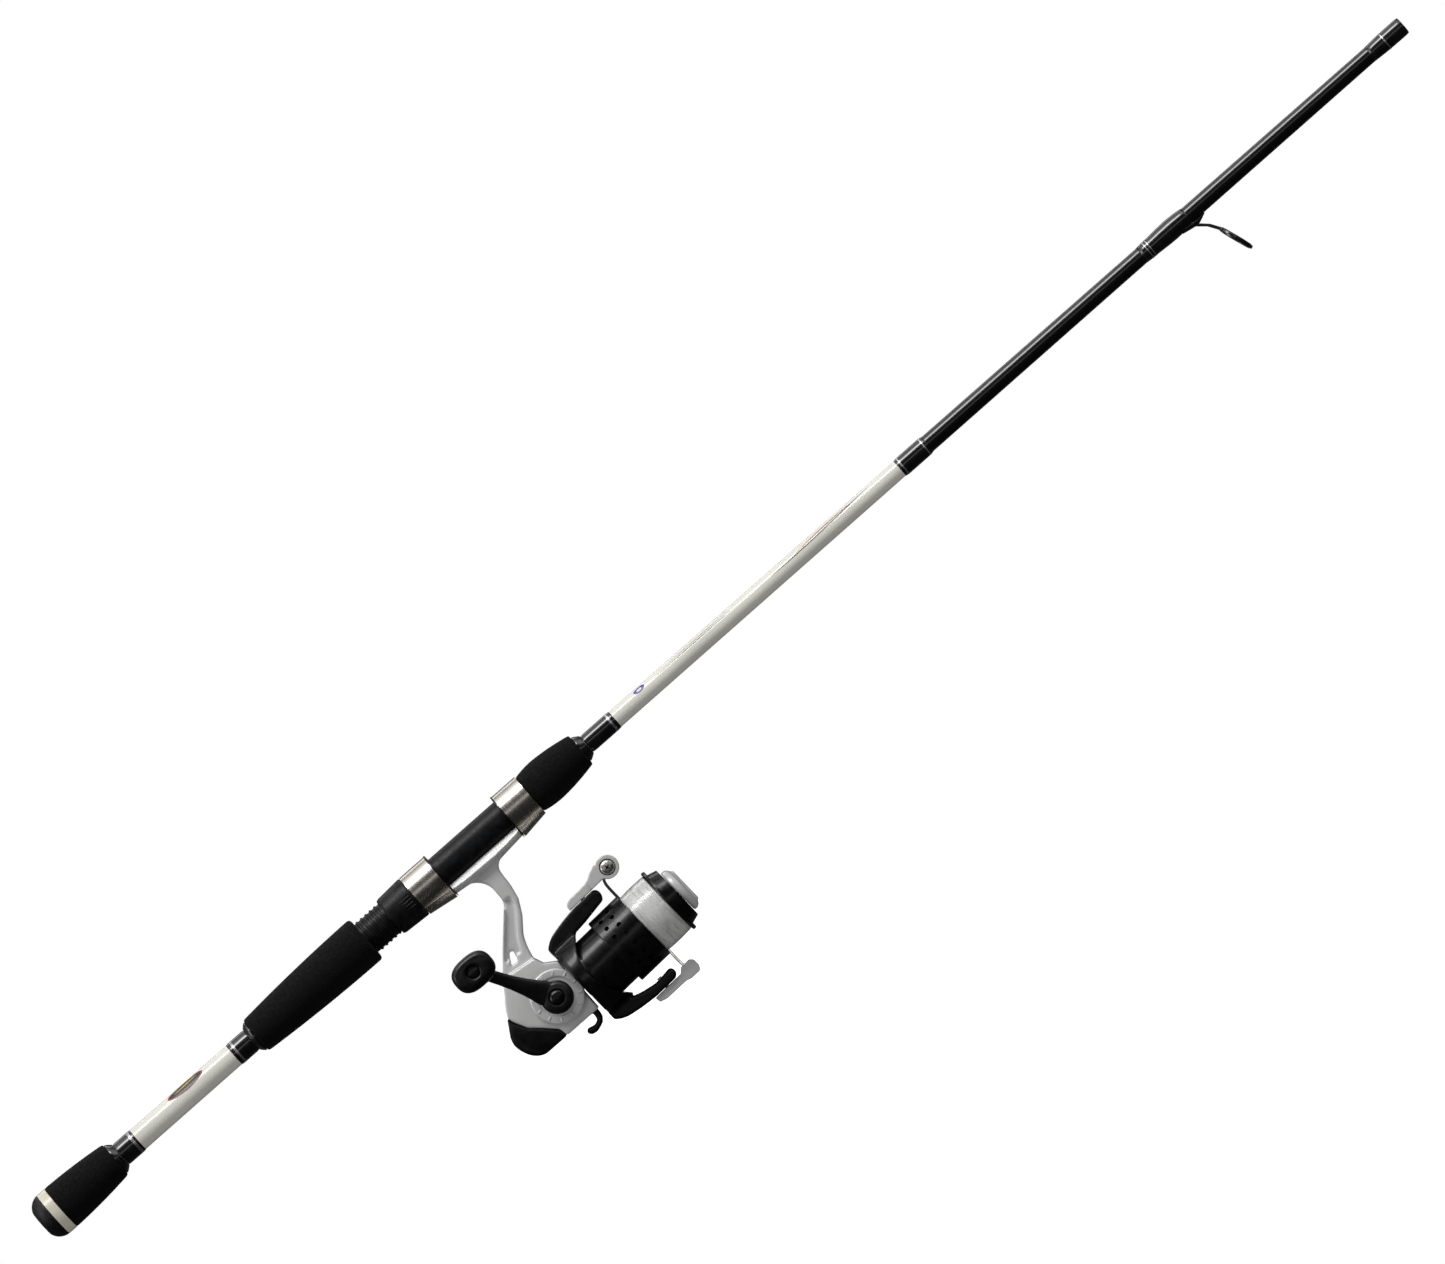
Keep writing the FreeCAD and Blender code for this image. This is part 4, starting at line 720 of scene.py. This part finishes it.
def make_marks():
    """Generic paint marks: an oval badge near the butt, and plain strokes further up."""
    ribbon("badge_rim", oval(90.0, 113.6, 52, 30), "mark_red")
    ribbon("badge_field", oval(91.2, 112.4, 52, 27), "mark_black")
    ribbon("badge_bar", sweep(94, 110, 50, 56, 5), "mark_gold")
    ribbon("stroke_dot", oval(406, 413, 44, 20), "mark_blue")
    ribbon("stroke_dot_core", oval(407.8, 411.2, 42, 9), "mark_white")
    ribbon("stroke_fine", sweep(418, 474, 34, 34, 3.0), "mark_black")
    ribbon("stroke_fine_upper", sweep(424, 470, 47, 47, 1.6), "mark_grey")
    ribbon("stroke_long", sweep(498, 566, 24, 52, 4.5, -8), "mark_black")
    ribbon("stroke_red", sweep(514, 556, 30, 44, 3.4, 12), "mark_red")
    for piece, lift in (("badge_field", 1.006), ("badge_bar", 1.012), ("stroke_dot_core", 1.012)):
        for vertex in bpy.data.objects[piece].data.vertices:
            vertex.co.y *= lift
            vertex.co.z *= lift


def make_guide_ramp():
    """The epoxy ramp that runs from the wrap's end out along the guide's foot."""
    rows = []
    for x, depth, wide, tall in ((772, 4.2, 3.0, 1.6), (776, 4.8, 3.0, 1.8),
                                 (779.5, 5.3, 2.8, 1.9), (782.5, 5.4, 2.3, 1.7),
                                 (785, 5.0, 1.7, 1.1), (787.5, 4.5, 0.9, 0.5)):
        rows.append((Vector((x, 0, -depth)) * MM, Vector((0, wide, 0)) * MM,
                     Vector((0, 0, tall)) * MM, 2))
    add_piece("guide_foot_ramp", cast(joined("ramp", loft_data(rows)), 0.2, 8), "rod",
              "black_epoxy")


def make_seat():
    """Black rims on the outer ends of the two steel hoods: each hood squeezed flat and widened."""
    thickness, widening = 0.9, 1.02
    for node, at, name in (("fixed_hood", 315.7, "fixed_hood_rim"),
                           ("sliding_hood", 270.0, "sliding_hood_rim")):
        mesh = nodes[node].data.copy()
        low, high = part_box(node)
        for vertex in mesh.vertices:
            share = (vertex.co.x - low.x) / (high.x - low.x)
            vertex.co.x = (at + thickness * share) * MM
            vertex.co.y *= widening
            vertex.co.z *= widening
        add_piece(name, cast(mesh, 0.18, 2), body_of_node[node], "black_plastic")


# ---------------------------------------------------------------- the reel

def on_reel(along, across, upward):
    """A point given in the spool's frame, whose X axis is the spool's."""
    return SPOOL_FRAME @ (Vector((along, across, upward)) * MM)


def make_body():
    """The reel's case with its stem and foot, its covers and housing, and the lever below."""
    heel = (0.2846, -0.0352)
    casting_of("reel_body", "cast_body", 0.4, 26, crown=True, melt=[(heel, 8.0, 60)])
    casting_of("side_cover", "cast_side_cover", 0.35, 8, crown=True)
    casting_of("rear_cover", "gloss_rear_cover", 0.4, 24, crown=True)
    make_reverse_lever()
    casting_of("front_housing", "turned_housing", 0.3, 4)


def make_reverse_lever():
    """The anti-reverse lever: a hub on its pin and a thick bent leg with a rounded toe."""
    place = Matrix.Translation(Vector(joints["antireverse_switch"]["pos_m"]))
    hub = lathe_data([[(-2.3, 0.75), (-2.3, 1.7), (2.3, 1.7), (2.3, 0.75)]], place, 48)
    leg = [(0.5, -1.2, 1.7), (0.5, -3.0, 1.8), (0.2, -5.2, 1.7), (-1.1, -7.0, 1.6),
           (-3.4, -8.0, 1.6), (-5.6, -8.3, 1.9), (-7.5, -7.8, 2.0), (-8.8, -7.0, 1.5),
           (-9.3, -6.6, 0.7)]
    rows = []
    for index, (x, z, half) in enumerate(leg):
        before, after = leg[max(index - 1, 0)], leg[min(index + 1, len(leg) - 1)]
        ahead = Vector((after[0] - before[0], 0, after[1] - before[1])).normalized()
        rows.append((Vector((x, 0, z)) * MM, Vector((-ahead.z, 0, ahead.x)) * half * MM,
                     Vector((0, 1.4, 0)) * MM, 3.0))
    bent = placed(loft_data(rows), place)
    add_piece("moulded_reverse_lever", cast(joined("lever", hub, bent), 0.2, 14), "antireverse",
              "black_plastic", ("antireverse_lever",))


def make_dial():
    """The raised ring round the crank, with a mark at each hour."""
    rim = softened([(13.0, 4.7), (13.0, 14.3), (14.0, 14.3), (14.6, 13.6), (14.6, 10.4),
                    (14.0, 9.8), (14.0, 4.7)], 0.35)
    ring = lathe_data([rim], CRANK_FRAME, 160)
    outward = Vector((1, 0, 0)) * MM
    face, middle = 14.45, 12.0
    marks = []
    for hour in range(12):
        angle = 2 * math.pi * hour / 12
        centre = Vector((face, middle * math.cos(angle), middle * math.sin(angle))) * MM
        radial = Vector((0, math.cos(angle), math.sin(angle)))
        round_it = Vector((0, -math.sin(angle), math.cos(angle)))
        levels = [(centre + outward * level, radial * long * MM, round_it * wide * MM, 3)
                  for level, long, wide in ((-0.3, 1.3, 0.7), (0.25, 1.2, 0.6), (0.4, 0.9, 0.35))]
        marks.append(placed(loft_data(levels, 20), CRANK_FRAME))
    add_piece("dial_ring", joined("dial_ring", ring, *marks), "rod", "pearl_silver",
              ("crank_bezel",))


def make_crank():
    """The crank's hub and curved arm as one casting, and its paddle knob."""
    outward = Vector((0, -1, 0))
    along = (KNOB_ORIGIN - CRANK_ORIGIN).normalized()
    across = along.cross(outward)
    hub = lathe_data([softened([(27.9, 2.4), (27.9, 7.4), (29.4, 8.7), (33.2, 8.7), (35.6, 7.2),
                                (36.4, 4.4), (35.6, 3.9), (34.4, 3.8), (34.4, 2.4)], 0.8)],
                     CRANK_FRAME, 96)
    path = [(4, 33.0, 6.6, 2.6), (8, 34.2, 6.3, 2.7), (12, 35.8, 5.3, 2.7), (17, 37.8, 4.4, 2.6),
            (23, 40.1, 3.7, 2.5), (30, 42.8, 3.3, 2.4), (36, 45.6, 3.2, 2.4), (40, 47.6, 3.4, 2.3),
            (44, 48.6, 3.9, 2.2), (46.8, 48.7, 3.5, 2.1), (48.4, 48.7, 2.2, 1.6)]
    spots = [CRANK_ORIGIN + (along * reach + outward * depth) * MM for reach, depth, _, _ in path]
    sections = []
    for index, (_, _, half_wide, half_thick) in enumerate(path):
        ahead = spots[min(index + 1, len(path) - 1)] - spots[max(index - 1, 0)]
        normal = across.cross(ahead.normalized())
        sections.append((spots[index], across * half_wide * MM, normal * half_thick * MM, 2.5))
    arm = cast(joined("arm", hub, loft_data(sections)), 0.3, 6)
    add_piece("cast_crank_arm", arm, "crank", "crank_metal", ("crank_arm",))
    wide, tall = Vector((1, 0, 0)), Vector((0, 0, 1))
    levels = [(53, 4.9, 4.4, 2), (55, 5.3, 4.6, 2), (59, 6.2, 5.2, 2.1), (64, 8.6, 6.6, 2.3),
              (70, 10.7, 7.9, 2.5), (77, 11.6, 8.7, 2.6), (81.5, 11.3, 8.5, 2.6),
              (83.6, 10.1, 7.6, 2.6), (84.3, 8.2, 6.2, 2.5), (84.5, 5.4, 4.6, 2.2),
              (84.4, 3.7, 3.7, 2), (83.6, 3.35, 3.35, 2), (81.4, 3.3, 3.3, 2)]
    skin = [(KNOB_ORIGIN + outward * level * MM, wide * half * MM, tall * high * MM, power)
            for level, half, high, power in levels]
    add_piece("paddle_knob", joined("paddle_knob", loft_data(skin, 72)), "knob", "knob_rubber",
              ("crank_knob",))


def yoke_data():
    """A collar whose front edge rises towards both arms, so that they grow out of it."""
    turns, back, inner, outer = 144, 1.0, 20.6, 22.0
    lowest, rise, sharpness = 7.4, 9.0, 2.4
    rings, faces = [], []
    for turn in range(turns):
        angle = 2 * math.pi * turn / turns
        front = lowest + rise * abs(math.cos(angle)) ** sharpness
        section = ((back, inner), (back, outer - 0.6), (back + 2, outer), (front - 1.4, outer),
                   (front, outer - 0.5), (front, inner))
        for along, radius in section:
            rings.append(on_reel(along, radius * math.sin(angle), radius * math.cos(angle)))
    sides = len(section)
    for turn in range(turns):
        for step in range(sides):
            after, beside = (turn + 1) % turns, (step + 1) % sides
            faces.append((turn * sides + step, turn * sides + beside, after * sides + beside,
                          after * sides + step))
    return rings, faces


def make_rotor():
    """The rotor with its yoke as one moulding, the spool's sleeve in it, and the bail's arms."""
    skin = bmesh.new()
    skin.from_mesh(nodes["rotor"].data)
    skin.from_mesh(joined("yoke", yoke_data()))
    mesh = bpy.data.meshes.new("rotor_skin")
    skin.to_mesh(mesh)
    skin.free()
    add_piece("moulded_rotor", cast(mesh, 0.48, 14), "rotor", "black_plastic", ("rotor",))
    lathe("spool_inner_sleeve", [softened([(25.0, 17.85), (25.0, 18.2), (43.0, 18.2),
                                           (43.0, 17.85)], 0.1)], "spool", "black_plastic",
          place=SPOOL_FRAME)
    casting_of("roller_arm", "cast_roller_arm", 0.3, 16)
    casting_of("far_lever", "cast_far_lever", 0.3, 16)


def make_drag_knob():
    """The drag knob: a soft-edged cap with a broad grip bar across its face."""
    cap = lathe_data([softened([(68.35, 10.7), (68.35, 12.7), (70.6, 12.8), (72.6, 11.2),
                                (73.0, 9.0), (73.0, 0.2), (71.2, 0.2), (71.2, 10.7)], 0.9)],
                     SPOOL_FRAME, 96)
    rows = []
    for along, half, thick in ((71.6, 10.6, 2.9), (73.0, 10.2, 2.6), (73.8, 9.7, 2.2),
                               (74.15, 9.0, 1.6)):
        rows.append((Vector((along, 0, 0)) * MM, Vector((0, 0, half)) * MM,
                     Vector((0, thick, 0)) * MM, 3.2))
    bar = placed(loft_data(rows), SPOOL_FRAME)
    add_piece("moulded_drag_knob", cast(joined("knob", cap, bar), 0.25, 6), "drag",
              "pearl_silver", ("drag_knob",))


def make_bail_wire():
    """The bail's polished wire: a tube along a smooth curve from the roller to the far lever."""
    route = [(51.4, 8.6, 34.2), (51.0, 10.2, 34.1), (49.4, 13.2, 33.6), (46.6, 17.0, 32.2),
             (44.5, 22.0, 29.9), (43.9, 29.0, 25.8), (43.8, 37.5, 19.2), (43.8, 44.0, 12.0),
             (43.8, 47.2, 4.4), (43.8, 47.2, -4.4), (43.8, 44.0, -12.0), (43.8, 37.5, -19.2),
             (43.8, 29.0, -26.0), (44.4, 18.0, -31.4), (45.4, 10.5, -33.0), (45.8, 5.4, -33.0),
             (45.8, 2.2, -33.0)]
    curve = bpy.data.curves.new("bail_route", "CURVE")
    curve.dimensions = "3D"
    spline = curve.splines.new("NURBS")
    spline.points.add(len(route) - 1)
    for point, spot in zip(spline.points, route):
        point.co = (*on_reel(*spot), 1)
    spline.order_u = 4
    spline.use_endpoint_u = True
    spline.resolution_u = 12
    thing = bpy.data.objects.new("bail_route", curve)
    bpy.context.scene.collection.objects.link(thing)
    graph = bpy.context.evaluated_depsgraph_get()
    smooth_route = bpy.data.meshes.new_from_object(thing.evaluated_get(graph))
    points = [vertex.co.copy() for vertex in smooth_route.vertices]
    bpy.data.objects.remove(thing)
    add_piece("polished_bail_wire", joined("bail", tube_data(points, 0.8 * MM, 14)), "bail",
              "bright_steel", ("bail_wire",))


def make_roller_screw():
    """The steel screw that holds the line roller, with a black cross on its head as painted shade for its cross
    recess.
    """
    bearing = Vector(joints["line_roller_spin"]["pos_m"])
    place = Matrix.Translation(bearing) @ SPOOL_FRAME.to_quaternion().to_matrix().to_4x4()
    place = place @ Matrix.Rotation(math.radians(-90), 4, "Z")
    head = softened([(8.6, 0.1), (8.6, 3.6), (9.5, 3.3), (10.1, 2.0), (10.2, 0.1)], 0.3)
    lathe("roller_screw", [head], "bail", "bright_steel", ("wire_holder",), place=place,
          segments=64)
    washer = softened([(8.4, 3.7), (8.4, 4.5), (9.1, 4.3), (9.1, 3.7)], 0.2)
    stem = softened([(-9.6, 0.1), (-9.6, 2.2), (-9.0, 2.9), (-8.2, 2.9), (-8.0, 1.4), (8.5, 1.4),
                     (8.5, 0.1)], 0.1)
    lathe("roller_washer", [washer, stem], "bail", "black_plastic", place=place, segments=64)
    # Painted shade: the cross recess is not cut into the head. Black blades standing just proud of it stand in for
    # the shade inside it.
    shade_blades = []
    slant = 0.35
    for turn in (slant, slant + math.pi / 2):
        arm = Vector((0, math.cos(turn), math.sin(turn))) * 1.5 * MM
        side = Vector((0, -math.sin(turn), math.cos(turn))) * 0.36 * MM
        rows = [(Vector((depth * MM, 0, 0)), arm * size, side * size, 6)
                for depth, size in ((9.9, 0.9), (10.24, 1.0), (10.27, 0.9))]
        shade_blades.append(placed(loft_data(rows, 24), place))
    add_piece("roller_screw_recess", joined("recess", *shade_blades), "bail", "black_plastic")


def make_line():
    """Nylon line laid turn beside turn, a little unevenly, over the turns below."""
    low, high = 44.6, 60.7
    arbor, top, belly = 12.1, 18.05, 0.28
    core = [(low - 0.2, arbor), (low - 0.2, top - 0.05)]
    core += [(low + (high - low) * step / 8, top + 0.04 + belly * math.sin(math.pi * step / 8))
             for step in range(1, 8)]
    core += [(high + 0.1, top - 0.05), (high + 0.1, arbor)]
    core_data = lathe_data([core], SPOOL_FRAME, 96)
    pitch, steps, thickness = 0.27, 72, 0.14
    turns = int((high - low) / pitch)
    points = []
    for index in range(turns * steps + 1):
        turn = index / steps
        angle = 2 * math.pi * turn
        share = turn / turns
        wander = 0.10 * math.sin(angle * 0.37 + 1.7) + 0.06 * math.sin(turn * 2.9)
        radius = top + belly * math.sin(math.pi * share) + 0.05 * math.sin(turn * 5.3)
        radius += 0.04 * math.sin(3 * angle + turn * 1.3)
        along = min(max(low + turn * pitch + wander, low), high)
        points.append(on_reel(along, radius * math.cos(angle), radius * math.sin(angle)))
    turns_data = tube_data(points, thickness * MM, 6)
    add_piece("wound_line", joined("wound_line", core_data, turns_data), "spool", "nylon_line",
              ("line_winding",))


make_camera()
make_light()
make_floor()
paints = make_paints()
for node, piece in nodes.items():
    dress(piece, paints[slot_of_node[node]])
make_rod()
make_marks()
make_guide_ramp()
make_seat()
make_body()
make_dial()
make_crank()
make_rotor()
make_drag_knob()
make_bail_wire()
make_roller_screw()
make_line()
